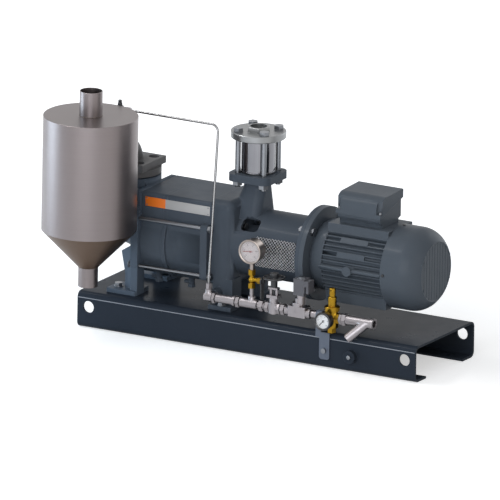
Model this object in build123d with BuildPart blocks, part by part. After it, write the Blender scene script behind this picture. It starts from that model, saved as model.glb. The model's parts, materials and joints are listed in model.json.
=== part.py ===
from build123d import *
import os
from math import cos, radians, sin, sqrt

# Liquid ring vacuum pump package on a folded base frame, in millimetres.
# +X runs from the separator tank to the motor, -Y is the front with the service
# line, +Z is up. The origin is the middle of the package's footprint on the floor.

os.makedirs("parts", exist_ok=True)

# Base frame: one sheet folded into a low channel with lips turned in below
base_length = 1015.0
base_width = 314.0
base_height = 97.0
base_sheet = 6.0
base_bend = 16.5
base_lip = 60.0
lifting_hole_diameter = 32.0
lifting_hole_inset = 33.0
base_boss_from_left = 824.0
base_boss_height = 45.0
base_boss_diameter = 34.0
base_boss_length = 16.0
base_boss_bore = 8.0

# Pump: shaft, drum casings and end covers
shaft_height = 262.0
pump_from_left = 133.0
cover_plate_thickness = 21.0
cover_plate_width = 234.0
ear_radius = 11.0
eye_lug_diameter = 22.0
eye_lug_bore = 9.0
eye_lug_thickness = 6.0
second_casing_length = 65.0
center_plate_thickness = 11.0
first_casing_length = 131.0
casing_flange_thickness = 20.0
drum_diameter = 209.0
casing_bore = 190.0
impeller_diameter = 150.0
impeller_hub = 60.0
impeller_drop = 19.0
impeller_side_gap = 1.0
blade_count = 14
blade_thickness = 4.0
center_rim = 4.5
casing_drain_offset = 40.0
casing_drain_diameter = 16.0
casing_drain_reach = 16.0
casing_drain_spout = 20.0
channel_width = 191.0
channel_top = shaft_height + 115.0
channel_corner = 9.0
shaft_diameter = 36.0
shaft_step = 30.0
shaft_bore_gap = 1.5
bearing_bore = 30.0
bearing_outer = 62.0
bearing_width = 16.0
running_gap = 0.05
seat_gap = 0.1

# Discharge end cover: bearing boss, foot and flanged tower
boss_length = 88.0
boss_small_diameter = 112.0
boss_large_diameter = 172.0
bearing_from_boss_end = 17.0
cap_thickness = 9.0
cap_diameter = 100.0
foot_pad_thickness = 12.0
foot_front = 34.0
foot_depth = 74.0
leg_inset = 8.0
leg_depth = 38.0
left_foot_start = 68.0
left_foot_length = 84.0
left_column_start = 107.0
left_bolt_from_left = 88.0
left_bolt_depth = 62.0
discharge_from_left = 73.0
tower_diameter = 92.0
tower_neck_diameter = 78.0
tower_shoulder = shaft_height + 84.0
flange_diameter = 148.0
discharge_flange_top = shaft_height + 132.0
pump_flange_thickness = 22.0
flange_bore = 44.4
flange_pitch_circle = 110.0
flange_bolt_hole = 18.0
gasket_thickness = 4.0
loose_flange_thickness = 17.0
square_plate = 125.0
square_plate_thickness = 19.0
plate_hole_diameter = 29.0
elbow_radius = 38.0
elbow_pipe_diameter = 48.3
elbow_pipe_wall = 3.0

# Suction housing: suction chamber, lantern and flanged neck in one casting
chamber_length = 62.0
chamber_width = 192.0
chamber_bottom = shaft_height - 110.0
chamber_top = shaft_height + 122.0
chamber_corner = 24.0
chamber_round = 19.0
lantern_length = 219.0
lantern_diameter = 180.0
lantern_wall = 8.0
lantern_flange_diameter = 250.0
lantern_flange_thickness = 12.0
bearing_housing_length = 55.0
bearing_housing_diameter = 84.0
seal_chamber_length = 18.0
seal_diameter = 52.0
window_length = 52.0
window_width = 40.0
window_from_wall = 14.0
window_corner = 12.0
housing_screw_circle = 119.0
housing_screw_flats = 16.0
housing_screw_head = 7.0
housing_screw_boss = 5.0
guard_opening_length = 105.0
guard_opening_height = 70.0
guard_opening_from_wall = 76.0
guard_margin = 6.0
guard_sheet = 1.5
guard_hole = 7.0
guard_pitch = 12.0
neck_from_wall = 23.0
neck_width = 66.0
neck_corner = 26.0
neck_waist_drop = 16.0
neck_root_length = 86.0
neck_root_width = 110.0
neck_root_corner = 20.0
neck_root_rise = 70.0
suction_flange_top = shaft_height + 191.0
suction_flange_thickness = 20.0
suction_lobe_radius = 22.5
right_foot_start = 372.0
right_foot_length = 68.0
right_column_start = 370.0
right_column_length = 59.0
column_front = 61.0
right_bolt_from_left = 406.0
right_bolt_depth = 47.0
motor_bolt_circle = lantern_flange_diameter - 35.0
motor_bolt_diameter = 12.0

# Tie rods round the drum
rod_diameter = 10.0
rod_spread = 213.0
rod_rise = 129.0
rod_nut_flats = 17.0
rod_nut_height = 8.0

# Non-return valve on the suction flange
valve_gasket_thickness = 2.0
valve_tube_diameter = 91.0
valve_tube_wall = 7.0
valve_tube_height = 92.0
valve_flange_diameter = 146.0
valve_flange_thickness = 18.0
valve_hub_flats = 57.0
valve_hub_height = 11.0
valve_rod_diameter = 14.0
valve_rod_hole = 16.0
valve_head_flats = 24.0
valve_head_height = 10.0
valve_nut_height = 13.0
valve_disc_diameter = 60.0
valve_disc_thickness = 6.0
valve_stem_diameter = 10.0
valve_cage_height = 10.0
valve_cage_drop = 57.0

# Flexible coupling
coupling_diameter = 80.0
coupling_hub_diameter = 54.0
coupling_hub_length = 24.0
coupling_plate = 12.0
jaw_length = 15.0
jaw_count = 4
coupling_gap = 0.5

# Flange motor
motor_flange_thickness = 12.0
end_shield_length = 53.0
end_shield_diameter = 196.0
stator_length = 198.0
stator_diameter = 184.0
stator_bore = 150.0
rotor_diameter = 116.0
rotor_gap = 0.6
core_length = 150.0
core_inset = 12.0
fin_count = 48
fin_height = 12.0
fin_thickness = 3.0
pad_angles = (138.5, 161.6)
pad_start = 47.0
pad_length = 82.0
pad_width = 15.0
conduit_diameter = 10.0
conduit_depth = 107.0
conduit_drop = 4.0
conduit_boss_from_shield = 85.5
conduit_boss_diameter = 26.0
motor_shaft_diameter = 28.0
motor_shaft_length = 60.0
belly_width = 142.0
belly_top = shaft_height - 70.0
belly_bottom = shaft_height - 105.0
shoulder_width = 126.0
shoulder_top = shaft_height + 105.0
rear_shield_thickness = 9.0
cowl_diameter = 223.0
cowl_sheet = 3.0
cowl_overlap = 15.0
cowl_straight = 50.0
cowl_length = 107.0
grille_diameter = 160.0
grille_slot = 5.0
grille_rings = 6
grille_spokes = 6
fan_diameter = 176.0
fan_width = 28.0
fan_gap = 14.0
fan_blades = 8
fan_seat_diameter = 26.0

# Terminal box on the motor's shoulder
box_from_shield = 23.0
box_length = 128.0
box_width = 115.0
box_pedestal_inset = 12.0
box_pedestal_top = shoulder_top + 11.0
box_front_split = shoulder_top + 28.0
box_back_split = shoulder_top + 63.0
box_top = shoulder_top + 86.0
lid_round = 34.0
lid_overhang = 3.0
lid_notch = 13.0

# Separator tank
tank_diameter = 250.0
tank_wall = 2.0
tank_from_left = 73.0
tank_in_front = 76.0
tank_bottom = 294.0
tank_top = 603.0
cone_bottom = 192.0
drain_diameter = 52.0
drain_bottom = 140.0
outlet_diameter = 60.3
outlet_top = 670.0

# Balance tube between the service line and the tank
tube_diameter = 6.4
tube_bore = 4.4
tube_bend = 20.0
tube_below_tank_top = 14.0
tube_standoff = 16.0
tube_corner_from_left = 377.0
tube_port_diameter = 14.0
tube_nut_flats = 14.0
tube_nut_length = 16.0

# Service line along the front edge
line_depth = 8.0
line_height = 139.0
line_pipe_diameter = 21.3
line_bore = 14.0
fitting_diameter = 26.0
hex_flats = 27.0
tee_from_left = 388.0
socket_start = 413.0
ring_start = 464.0
ring_length = 7.0
gauge_tee_start = 486.0
gauge_tee_end = 536.0
gauge_from_left = 517.0
stop_valve_start = 562.0
stop_valve_end = 606.0
solenoid_start = 622.0
solenoid_end = 697.0
regulator_start = 735.0
regulator_end = 783.0
strainer_start = 793.0
strainer_end = 886.0

# Gauge cock and large gauge
riser_diameter = 11.0
riser_top = 182.0
cock_height = 205.0
cock_hex_flats = 18.0
cock_hex_height = 14.0
cock_body_diameter = 17.0
cock_top = 232.0
spindle_diameter = 8.0
spindle_nut_flats = 15.0
spindle_reach = 29.0
lever_thickness = 4.0
lever_width = 16.0
lever_length = 51.0
gauge_diameter = 66.0
gauge_depth = 30.0
gauge_height = 283.0
gauge_rim = 4.0
gauge_recess = 4.0
pointer_pivot = 3.0
pointer_thickness = 0.8
large_pointer_turn = -95.0

# Stop valve
valve_body_top = 174.0
yoke_top = 194.0
yoke_post_diameter = 9.0
yoke_post_spacing = 17.0
yoke_plate = 5.0
wheel_height = 220.0
wheel_diameter = 60.0
wheel_rim = 5.5
wheel_hub_diameter = 18.0
wheel_cap_diameter = 25.0
wheel_cap_top = 233.0
stem_diameter = 7.0
plug_diameter = 16.0
plug_height = 16.0
plug_bore_depth = 12.0
stem_overlap = 1.5

# Solenoid valve
solenoid_block_length = 54.0
solenoid_block_width = 32.0
solenoid_block_top = 165.0
coil_bottom = 187.0
coil_top = 231.0
coil_width = 33.0
coil_from_left = 666.0
coil_tube_diameter = 16.0
connector_length = 13.0
connector_width = 30.0
plunger_diameter = 9.0
plunger_length = 22.0
plunger_stroke = 5.0

# Pressure regulator and small gauge
regulator_body_diameter = 34.0
regulator_flange_diameter = 41.0
regulator_flange_bottom = 158.0
regulator_flange_top = 170.0
spring_housing_diameter = 23.0
spring_housing_top = 196.0
regulator_cap_bottom = 98.5
regulator_cap_top = 112.0
regulator_cap_flats = 21.0
screw_head_diameter = 16.5
screw_top = 219.0
screw_stem_diameter = 8.0
screw_stem_length = 14.0
screw_hole = 4.0
small_gauge_diameter = 49.0
small_gauge_depth = 22.0
small_gauge_front = 52.0
small_pointer_turn = -140.0

# Strainer
strainer_diameter = 26.0
strainer_ring_diameter = 30.0
strainer_leg_diameter = 25.0
inlet_radius = 9.3
inlet_depth = 10.0
leg_root_from_left = 864.0
leg_back = 41.0
leg_forward = 29.0
leg_down = 41.0

# Bracket from the base's front face to the line
strap_from_left = 743.5
strap_width = 30.0
strap_sheet = 4.0
strap_bottom = 25.0
strap_top = 97.5
strap_bolt_height = 49.0
clip_width = 16.0
clip_from_left = 725.0
clip_outer = 29.0

# Places worked out from the sizes
tank_overhang = tank_diameter / 2 - tank_from_left
tank_reach = tank_diameter / 2 + tank_in_front
base_left = -(base_length - tank_overhang) / 2
base_right = base_left + base_length
base_front = -(base_width - tank_reach) / 2
base_back = base_front + base_width
shaft_y = base_front + base_width / 2
shaft_z = shaft_height
drum_z = shaft_z - impeller_drop
plate_left = base_left + pump_from_left
second_left = plate_left + cover_plate_thickness
center_left = second_left + second_casing_length
first_left = center_left + center_plate_thickness
suction_left = first_left + first_casing_length
lantern_left = suction_left + chamber_length
motor_left = lantern_left + lantern_length
shield_right = motor_left + end_shield_length
stator_right = shield_right + stator_length
cowl_left = stator_right - cowl_overlap
cowl_right = cowl_left + cowl_length
boss_left = plate_left - boss_length
tank_x = base_left + tank_from_left
tank_y = base_front - tank_in_front
discharge_x = base_left + discharge_from_left
neck_x = lantern_left + neck_from_wall
line_y = base_front + line_depth
line_z = line_height
bolt_reach = flange_pitch_circle / 2 / sqrt(2)
left_bearing = boss_left + bearing_from_boss_end
right_bearing = lantern_left + bearing_housing_length - bearing_width - 7.0
drive_bearing = motor_left + 15.0
fan_bearing = stator_right - bearing_width + 3.0


def bar_x(start, end, y, z, radius, mode=Mode.ADD):
    """Round bar along X."""
    with Locations(Location((start, y, z), (0, 90, 0))):
        Cylinder(radius, end - start, align=(Align.CENTER, Align.CENTER, Align.MIN), mode=mode)


def bar_y(start, end, x, z, radius, mode=Mode.ADD):
    """Round bar along Y."""
    with Locations(Location((x, start, z), (-90, 0, 0))):
        Cylinder(radius, end - start, align=(Align.CENTER, Align.CENTER, Align.MIN), mode=mode)


def bar_z(start, end, x, y, radius, mode=Mode.ADD):
    """Round bar along Z."""
    with Locations((x, y, start)):
        Cylinder(radius, end - start, align=(Align.CENTER, Align.CENTER, Align.MIN), mode=mode)


def hexagon(plane, length, flats, mode=Mode.ADD):
    """Hexagon prism that starts on a plane and runs along its normal."""
    with BuildSketch(plane, mode=Mode.PRIVATE) as face:
        RegularPolygon(flats / 2, 6, major_radius=False)
    extrude(face.sketch, amount=length, mode=mode)


def block(x_range, y_range, z_range, mode=Mode.ADD):
    """Box between three pairs of limits."""
    with Locations((x_range[0], y_range[0], z_range[0])):
        Box(
            x_range[1] - x_range[0],
            y_range[1] - y_range[0],
            z_range[1] - z_range[0],
            align=(Align.MIN, Align.MIN, Align.MIN),
            mode=mode,
        )


def both_sides(depth):
    """Two Y places at the same depth from the front and from the back."""
    return (base_front + depth, base_back - depth)


def casing_section(rim=0.0):
    """Drum circle with the flat-topped gas channel above it, in the YZ plane."""
    with Locations((shaft_y, drum_z)):
        Circle(drum_diameter / 2 + rim)
    with Locations((shaft_y, (drum_z + channel_top) / 2)):
        Rectangle(channel_width, channel_top - drum_z)


def rod_places():
    """The four tie rods' places in the YZ plane."""
    return [
        (shaft_y + side * rod_spread / 2, drum_z + level * rod_rise / 2)
        for side in (-1, 1)
        for level in (-1, 1)
    ]


# Base frame
with BuildPart() as base_frame:
    with BuildSketch(Plane.YZ.offset(base_left)):
        with Locations((shaft_y, base_height / 2)):
            RectangleRounded(base_width, base_height, base_bend)
            RectangleRounded(
                base_width - 2 * base_sheet,
                base_height - 2 * base_sheet,
                base_bend - base_sheet,
                mode=Mode.SUBTRACT,
            )
        with Locations((shaft_y, base_sheet / 2)):
            Rectangle(base_width - 2 * base_lip, 2 * base_sheet, mode=Mode.SUBTRACT)
    extrude(amount=base_length)
    with BuildSketch(Plane.XZ.offset(-base_back)):
        with Locations(
            (base_left + lifting_hole_inset, base_height * 0.6),
            (base_right - lifting_hole_inset, base_height * 0.6),
        ):
            Circle(lifting_hole_diameter / 2)
    extrude(amount=base_width, mode=Mode.SUBTRACT)
    for bolt_y in both_sides(left_bolt_depth):
        bar_z(
            base_height - 2 * base_sheet,
            base_height + 1,
            base_left + left_bolt_from_left,
            bolt_y,
            7.0,
            Mode.SUBTRACT,
        )
    for bolt_y in both_sides(right_bolt_depth):
        bar_z(
            base_height - 2 * base_sheet,
            base_height + 1,
            base_left + right_bolt_from_left,
            bolt_y,
            7.0,
            Mode.SUBTRACT,
        )
    bar_y(
        base_front - 1,
        base_front + 2 * base_sheet,
        base_left + strap_from_left,
        strap_bolt_height,
        4.5,
        Mode.SUBTRACT,
    )
    bar_y(
        base_front - base_boss_length,
        base_front + 1,
        base_left + base_boss_from_left,
        base_boss_height,
        base_boss_diameter / 2,
    )
    bar_y(
        base_front - base_boss_length - 1,
        base_front - 3,
        base_left + base_boss_from_left,
        base_boss_height,
        base_boss_bore / 2,
        Mode.SUBTRACT,
    )
base_frame.part.label = "base_frame"
export_step(base_frame.part, "parts/base_frame.step")

# Hold-down bolts through the pump's feet, and the strap's bolt
hold_down_shank = 6.0
hold_down_flats = 19.0
hold_down_head = 8.0
washer_diameter = 24.0
washer_thickness = 2.5
hold_down_nut = 10.0
foot_top = base_height + foot_pad_thickness
plate_under = base_height - base_sheet
with BuildPart() as base_bolts:
    bolt_places = [(base_left + left_bolt_from_left, y) for y in both_sides(left_bolt_depth)]
    bolt_places += [(base_left + right_bolt_from_left, y) for y in both_sides(right_bolt_depth)]
    for bolt_x, bolt_y in bolt_places:
        bar_z(foot_top, foot_top + washer_thickness, bolt_x, bolt_y, washer_diameter / 2)
        hexagon(Plane((bolt_x, bolt_y, foot_top + washer_thickness)), hold_down_head, hold_down_flats)
        bar_z(plate_under - hold_down_nut - 3, foot_top + washer_thickness, bolt_x, bolt_y, hold_down_shank)
        hexagon(Plane((bolt_x, bolt_y, plate_under - hold_down_nut)), hold_down_nut, hold_down_flats)
    strap_bolt_x = base_left + strap_from_left
    strap_face = base_front - strap_sheet
    hexagon(Plane((strap_bolt_x, strap_face, strap_bolt_height), z_dir=(0, -1, 0)), 6.0, 13.0)
    bar_y(strap_face, base_front + base_sheet + 9, strap_bolt_x, strap_bolt_height, 4.0)
    hexagon(Plane((strap_bolt_x, base_front + base_sheet, strap_bolt_height), z_dir=(0, 1, 0)), 6.5, 13.0)
base_bolts.part.label = "base_bolts"
export_step(base_bolts.part, "parts/base_bolts.step")

# Bracket: a strap on the base's front face, with a pipe clip beside the regulator
with BuildPart() as line_bracket:
    strap_left = base_left + strap_from_left - strap_width / 2
    clip_left = base_left + clip_from_left - clip_width / 2
    block((strap_left, strap_left + strap_width), (strap_face, base_front), (strap_bottom, strap_top))
    block((clip_left, strap_left + strap_width), (strap_face, base_front), (strap_top - 14, strap_top))
    block((clip_left, clip_left + clip_width), (strap_face, base_front), (strap_top - 14, line_z))
    bar_x(clip_left, clip_left + clip_width, line_y, line_z, clip_outer / 2)
    bar_x(
        clip_left - 1,
        clip_left + clip_width + 1,
        line_y,
        line_z,
        line_pipe_diameter / 2 + seat_gap,
        Mode.SUBTRACT,
    )
    bar_y(strap_face - 1, base_front + 1, strap_bolt_x, strap_bolt_height, 4.3, Mode.SUBTRACT)
    fillet(line_bracket.edges().filter_by(Axis.Y).group_by(Axis.Z)[0], strap_width / 4)
line_bracket.part.label = "line_bracket"
export_step(line_bracket.part, "parts/line_bracket.step")

# Discharge end cover
with BuildPart() as discharge_cover:
    with BuildSketch(Plane.YZ.offset(plate_left)) as cover_section:
        casing_section()
        fillet(cover_section.vertices().group_by(Axis.Y)[-1], channel_corner)
        with Locations((shaft_y, drum_z)):
            RectangleRounded(cover_plate_width, rod_rise + 2 * ear_radius, ear_radius - 0.1)
        for leg_y in both_sides(foot_front + leg_inset + leg_depth / 2):
            with Locations((leg_y, (base_height + drum_z) / 2)):
                Rectangle(leg_depth, drum_z - base_height)
    extrude(amount=cover_plate_thickness)
    eye_y = shaft_y - cover_plate_width / 2 + ear_radius
    eye_z = drum_z + rod_rise / 2 + ear_radius + eye_lug_diameter / 2 - 3
    eye_x = second_left - eye_lug_diameter / 2
    bar_y(eye_y - eye_lug_thickness / 2, eye_y + eye_lug_thickness / 2, eye_x, eye_z, eye_lug_diameter / 2)
    block(
        (eye_x - eye_lug_bore, eye_x + eye_lug_bore),
        (eye_y - eye_lug_thickness / 2, eye_y + eye_lug_thickness / 2),
        (eye_z - eye_lug_diameter / 2 - 1, eye_z),
    )
    bar_y(eye_y - eye_lug_thickness, eye_y + eye_lug_thickness, eye_x, eye_z, eye_lug_bore / 2, Mode.SUBTRACT)
    with BuildSketch(Plane.XZ.offset(-shaft_y)):
        with BuildLine():
            boss_curve = Spline(
                (boss_left, shaft_z + boss_small_diameter / 2),
                (boss_left + boss_length * 0.45, shaft_z + boss_small_diameter / 2 + 7),
                (plate_left, shaft_z + boss_large_diameter / 2),
            )
            Polyline(boss_curve @ 1, (plate_left, shaft_z), (boss_left, shaft_z), boss_curve @ 0)
        make_face()
    revolve(axis=Axis((0, shaft_y, shaft_z), (1, 0, 0)))
    for side in (0, 1):
        pad_front = base_front + foot_front if side == 0 else base_back - foot_front - foot_depth
        web_front = pad_front + 28 if side == 0 else pad_front + foot_depth - 28 - 40
        block(
            (base_left + left_foot_start, base_left + left_foot_start + left_foot_length),
            (pad_front, pad_front + foot_depth),
            (base_height, foot_top),
        )
        with BuildSketch(Plane.XZ.offset(-web_front)):
            with BuildLine():
                Polyline(
                    (plate_left, foot_top),
                    (base_left + left_column_start, foot_top),
                    (base_left + left_column_start, foot_top + 38),
                    (base_left + left_column_start - 12, shaft_z - 55),
                    (plate_left, shaft_z - 30),
                    close=True,
                )
            make_face()
        extrude(amount=-40)
    bar_z(shaft_z, tower_shoulder, discharge_x, shaft_y, tower_diameter / 2)
    chamfer(discharge_cover.faces().filter_by(Axis.Z).sort_by(Axis.Z)[-1].edges(), 5.0)
    bar_z(
        tower_shoulder,
        discharge_flange_top - pump_flange_thickness,
        discharge_x,
        shaft_y,
        tower_neck_diameter / 2,
    )
    bar_z(
        discharge_flange_top - pump_flange_thickness,
        discharge_flange_top,
        discharge_x,
        shaft_y,
        flange_diameter / 2,
    )
    block((discharge_x, plate_left), (shaft_y - 40, shaft_y + 40), (shaft_z, tower_shoulder - 6))
    with BuildSketch(Plane.XZ.offset(-shaft_y - tower_diameter / 2)):
        with BuildLine():
            Polyline(
                (boss_left, shaft_z - 1),
                (boss_left, shaft_z + cap_diameter / 2 + 6),
                (boss_left - tower_diameter / 2, shaft_z + cap_diameter / 2 + 36),
                (boss_left - tower_diameter / 2, shaft_z - 1),
                close=True,
            )
        make_face()
    extrude(amount=tower_diameter, mode=Mode.SUBTRACT)
    bar_z(channel_top - 50, discharge_flange_top + 1, discharge_x, shaft_y, flange_bore / 2, Mode.SUBTRACT)
    with Locations((discharge_x, shaft_y, discharge_flange_top)):
        with PolarLocations(flange_pitch_circle / 2, 4, start_angle=45):
            Cylinder(flange_bolt_hole / 2, 3 * pump_flange_thickness, mode=Mode.SUBTRACT)
    bar_x(
        boss_left - 1,
        second_left + 1,
        shaft_y,
        shaft_z,
        shaft_diameter / 2 + shaft_bore_gap,
        Mode.SUBTRACT,
    )
    bar_x(boss_left - 1, left_bearing + bearing_width, shaft_y, shaft_z, bearing_outer / 2, Mode.SUBTRACT)
    for bolt_y in both_sides(left_bolt_depth):
        bar_z(base_height - 1, foot_top + 1, base_left + left_bolt_from_left, bolt_y, 7.0, Mode.SUBTRACT)
    for rod_y, rod_z in rod_places():
        bar_x(plate_left - 1, second_left + 1, rod_y, rod_z, rod_diameter / 2 + 0.5, Mode.SUBTRACT)
discharge_cover.part.label = "discharge_cover"
export_step(discharge_cover.part, "parts/discharge_cover.step")

# Bearing cap on the cover's boss, with a spigot that holds the bearing
with BuildPart() as bearing_cap:
    bar_x(boss_left - cap_thickness, boss_left, shaft_y, shaft_z, cap_diameter / 2)
    bar_x(boss_left, left_bearing, shaft_y, shaft_z, bearing_outer / 2 - seat_gap)
    bar_x(boss_left - 3, left_bearing + 1, shaft_y, shaft_z, bearing_outer / 2 - 9, Mode.SUBTRACT)
    chamfer(bearing_cap.faces().sort_by(Axis.X)[0].edges(), 3.0)
    for angle in range(0, 360, 60):
        screw_y = shaft_y + 42 * cos(radians(angle))
        screw_z = shaft_z + 42 * sin(radians(angle))
        hexagon(Plane((boss_left - cap_thickness, screw_y, screw_z), z_dir=(-1, 0, 0)), 4.0, 10.0)
bearing_cap.part.label = "bearing_cap"
export_step(bearing_cap.part, "parts/bearing_cap.step")


def drain_cock(x):
    """Drain boss in front of the drum's lowest line, with a hexagon plug and a side spout."""
    drum_bottom = drum_z - sqrt((drum_diameter / 2) ** 2 - casing_drain_offset**2)
    drain_y = shaft_y - casing_drain_offset
    bar_z(drum_bottom - casing_drain_reach, drum_bottom + 8, x, drain_y, casing_drain_diameter / 2)
    hexagon(Plane((x, drain_y, drum_bottom - casing_drain_reach - 7)), 7.0, casing_drain_diameter + 3)
    spout_z = drum_bottom - casing_drain_reach + 6
    bar_x(x - casing_drain_spout, x, drain_y, spout_z, casing_drain_diameter / 2 - 3)


# Second stage casing, next to the discharge cover
with BuildPart() as second_stage_casing:
    with BuildSketch(Plane.YZ.offset(second_left)) as second_section:
        casing_section()
        fillet(second_section.vertices().group_by(Axis.Y)[-1], channel_corner)
    extrude(amount=second_casing_length)
    bar_x(second_left - 1, center_left + 1, shaft_y, drum_z, casing_bore / 2, Mode.SUBTRACT)
    drain_cock(second_left + 24)
second_stage_casing.part.label = "second_stage_casing"
export_step(second_stage_casing.part, "parts/second_stage_casing.step")

# Centre plate between the stages, standing proud as a rim
with BuildPart() as center_plate:
    with BuildSketch(Plane.YZ.offset(center_left)) as rim_section:
        casing_section(center_rim)
        fillet(rim_section.vertices().group_by(Axis.Y)[-1], channel_corner)
    extrude(amount=center_plate_thickness)
    bar_x(
        center_left - 1,
        first_left + 1,
        shaft_y,
        shaft_z,
        shaft_diameter / 2 + shaft_bore_gap,
        Mode.SUBTRACT,
    )
    with BuildSketch(Plane.YZ.offset(center_left)):
        with Locations((shaft_y, shaft_z)):
            SlotArc(CenterArc((0, 0), 46, 200, 70), 14)
            SlotArc(CenterArc((0, 0), 46, -10, 50), 9)
    extrude(amount=center_plate_thickness, mode=Mode.SUBTRACT)
center_plate.part.label = "center_plate"
export_step(center_plate.part, "parts/center_plate.step")

# First stage casing with the flange that takes the tie rods
with BuildPart() as first_stage_casing:
    with BuildSketch(Plane.YZ.offset(first_left)) as first_section:
        casing_section()
        fillet(first_section.vertices().group_by(Axis.Y)[-1], channel_corner)
    extrude(amount=first_casing_length)
    with BuildSketch(Plane.YZ.offset(suction_left - casing_flange_thickness)):
        with Locations((shaft_y, drum_z)):
            RectangleRounded(cover_plate_width, rod_rise + 2 * ear_radius, ear_radius - 0.1)
    extrude(amount=casing_flange_thickness)
    bar_x(first_left - 1, suction_left + 1, shaft_y, drum_z, casing_bore / 2, Mode.SUBTRACT)
    for rod_y, rod_z in rod_places():
        bar_x(
            suction_left - casing_flange_thickness - 1,
            suction_left + 1,
            rod_y,
            rod_z,
            rod_diameter / 2 + 0.5,
            Mode.SUBTRACT,
        )
    drain_cock(first_left + 46)
first_stage_casing.part.label = "first_stage_casing"
export_step(first_stage_casing.part, "parts/first_stage_casing.step")

# Suction housing: chamber, lantern, bearing housing, feet and flanged neck
wall_y = both_sides(column_front)
housing_screws = [
    (
        shaft_y + housing_screw_circle / 2 * cos(radians(angle)),
        shaft_z + housing_screw_circle / 2 * sin(radians(angle)),
    )
    for angle in (52, 128, 232, 308)
]
with BuildPart() as suction_housing:
    with BuildSketch(Plane.YZ.offset(suction_left)) as chamber_section:
        with Locations((shaft_y, (chamber_bottom + chamber_top) / 2)):
            RectangleRounded(chamber_width, chamber_top - chamber_bottom, chamber_corner)
    extrude(amount=chamber_length)
    fillet(suction_housing.faces().sort_by(Axis.X)[-1].edges(), chamber_round)
    bar_x(lantern_left - chamber_round, motor_left, shaft_y, shaft_z, lantern_diameter / 2)
    bar_x(motor_left - lantern_flange_thickness, motor_left, shaft_y, shaft_z, lantern_flange_diameter / 2)
    neck_waist = suction_flange_top - suction_flange_thickness - neck_waist_drop
    with BuildSketch(Plane.XY.offset(neck_waist)) as waist_section:
        with Locations((neck_x, shaft_y)):
            RectangleRounded(neck_width, neck_width, neck_corner)
    extrude(amount=neck_waist_drop + 2)
    with BuildSketch(Plane.XY.offset(neck_waist), mode=Mode.PRIVATE) as loft_top:
        with Locations((neck_x, shaft_y)):
            RectangleRounded(neck_width, neck_width, neck_corner)
    with BuildSketch(Plane.XY.offset(shaft_z + neck_root_rise), mode=Mode.PRIVATE) as loft_root:
        with Locations((neck_x + neck_width / 2 - 4 - neck_root_length / 2, shaft_y)):
            RectangleRounded(neck_root_length, neck_root_width, neck_root_corner)
    loft([loft_root.sketch, loft_top.sketch])
    bar_x(lantern_left, motor_left + 1, shaft_y, shaft_z, lantern_diameter / 2 - lantern_wall, Mode.SUBTRACT)
    bar_x(
        lantern_left - 1,
        lantern_left + bearing_housing_length,
        shaft_y,
        shaft_z,
        bearing_housing_diameter / 2,
    )
    for screw_y, screw_z in housing_screws:
        bar_x(
            lantern_left - 1,
            lantern_left + housing_screw_boss,
            screw_y,
            screw_z,
            housing_screw_flats / 2 + 4,
        )
    with BuildSketch(Plane.XY.offset(suction_flange_top - suction_flange_thickness)):
        with Locations((neck_x, shaft_y)):
            with GridLocations(2 * bolt_reach, 2 * bolt_reach, 2, 2):
                Circle(suction_lobe_radius)
        make_hull()
    extrude(amount=suction_flange_thickness)
    with Locations((neck_x, shaft_y, suction_flange_top)):
        with PolarLocations(flange_pitch_circle / 2, 4, start_angle=45):
            Cylinder(valve_rod_hole / 2, 3 * suction_flange_thickness, mode=Mode.SUBTRACT)
    bar_z(
        shaft_z + lantern_diameter / 2 + 4,
        suction_flange_top + 1,
        neck_x,
        shaft_y,
        flange_bore / 2,
        Mode.SUBTRACT,
    )
    bar_x(
        suction_left - 1,
        lantern_left + bearing_housing_length + 1,
        shaft_y,
        shaft_z,
        shaft_diameter / 2 + shaft_bore_gap,
        Mode.SUBTRACT,
    )
    bar_x(
        lantern_left,
        lantern_left + seal_chamber_length,
        shaft_y,
        shaft_z,
        seal_diameter / 2,
        Mode.SUBTRACT,
    )
    bar_x(
        right_bearing,
        lantern_left + bearing_housing_length + 1,
        shaft_y,
        shaft_z,
        bearing_outer / 2,
        Mode.SUBTRACT,
    )
    for side in (-1, 1):
        window_plane = Plane(
            (lantern_left + window_from_wall + window_length / 2, shaft_y, shaft_z),
            x_dir=(1, 0, 0),
            z_dir=(0, side * sin(radians(45)), cos(radians(45))),
        )
        with BuildSketch(window_plane.offset(lantern_diameter / 2 - 3 * lantern_wall)):
            RectangleRounded(window_length, window_width, window_corner)
        extrude(amount=4 * lantern_wall, mode=Mode.SUBTRACT)
    opening_left = lantern_left + guard_opening_from_wall
    block(
        (opening_left, opening_left + guard_opening_length),
        (shaft_y - lantern_diameter, shaft_y + lantern_diameter),
        (shaft_z - guard_opening_height / 2, shaft_z + guard_opening_height / 2),
        Mode.SUBTRACT,
    )
    for side in (0, 1):
        pad_front = base_front + foot_front if side == 0 else base_back - foot_front - foot_depth
        column_y = (wall_y[0], wall_y[0] + 48) if side == 0 else (wall_y[1] - 48, wall_y[1])
        block(
            (base_left + right_foot_start, base_left + right_foot_start + right_foot_length),
            (pad_front, pad_front + foot_depth),
            (base_height, foot_top),
        )
        block(
            (base_left + right_column_start, base_left + right_column_start + right_column_length),
            column_y,
            (foot_top - 1, chamber_bottom + 24),
        )
    bar_y(line_y + fitting_diameter / 2 + 12, wall_y[0] + 4, base_left + tee_from_left, line_z, 13.0)
    bar_y(
        line_y + fitting_diameter / 2 + 2,
        wall_y[0] + 20,
        base_left + tee_from_left,
        line_z,
        line_bore / 2,
        Mode.SUBTRACT,
    )
    for bolt_y in both_sides(right_bolt_depth):
        bar_z(base_height - 1, foot_top + 1, base_left + right_bolt_from_left, bolt_y, 7.0, Mode.SUBTRACT)
    with Locations(Location((motor_left, shaft_y, shaft_z), (0, 90, 0))):
        with PolarLocations(motor_bolt_circle / 2, 4, start_angle=45):
            Cylinder(motor_bolt_diameter / 2 + 1, 4 * lantern_flange_thickness, mode=Mode.SUBTRACT)
suction_housing.part.label = "suction_housing"
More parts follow.
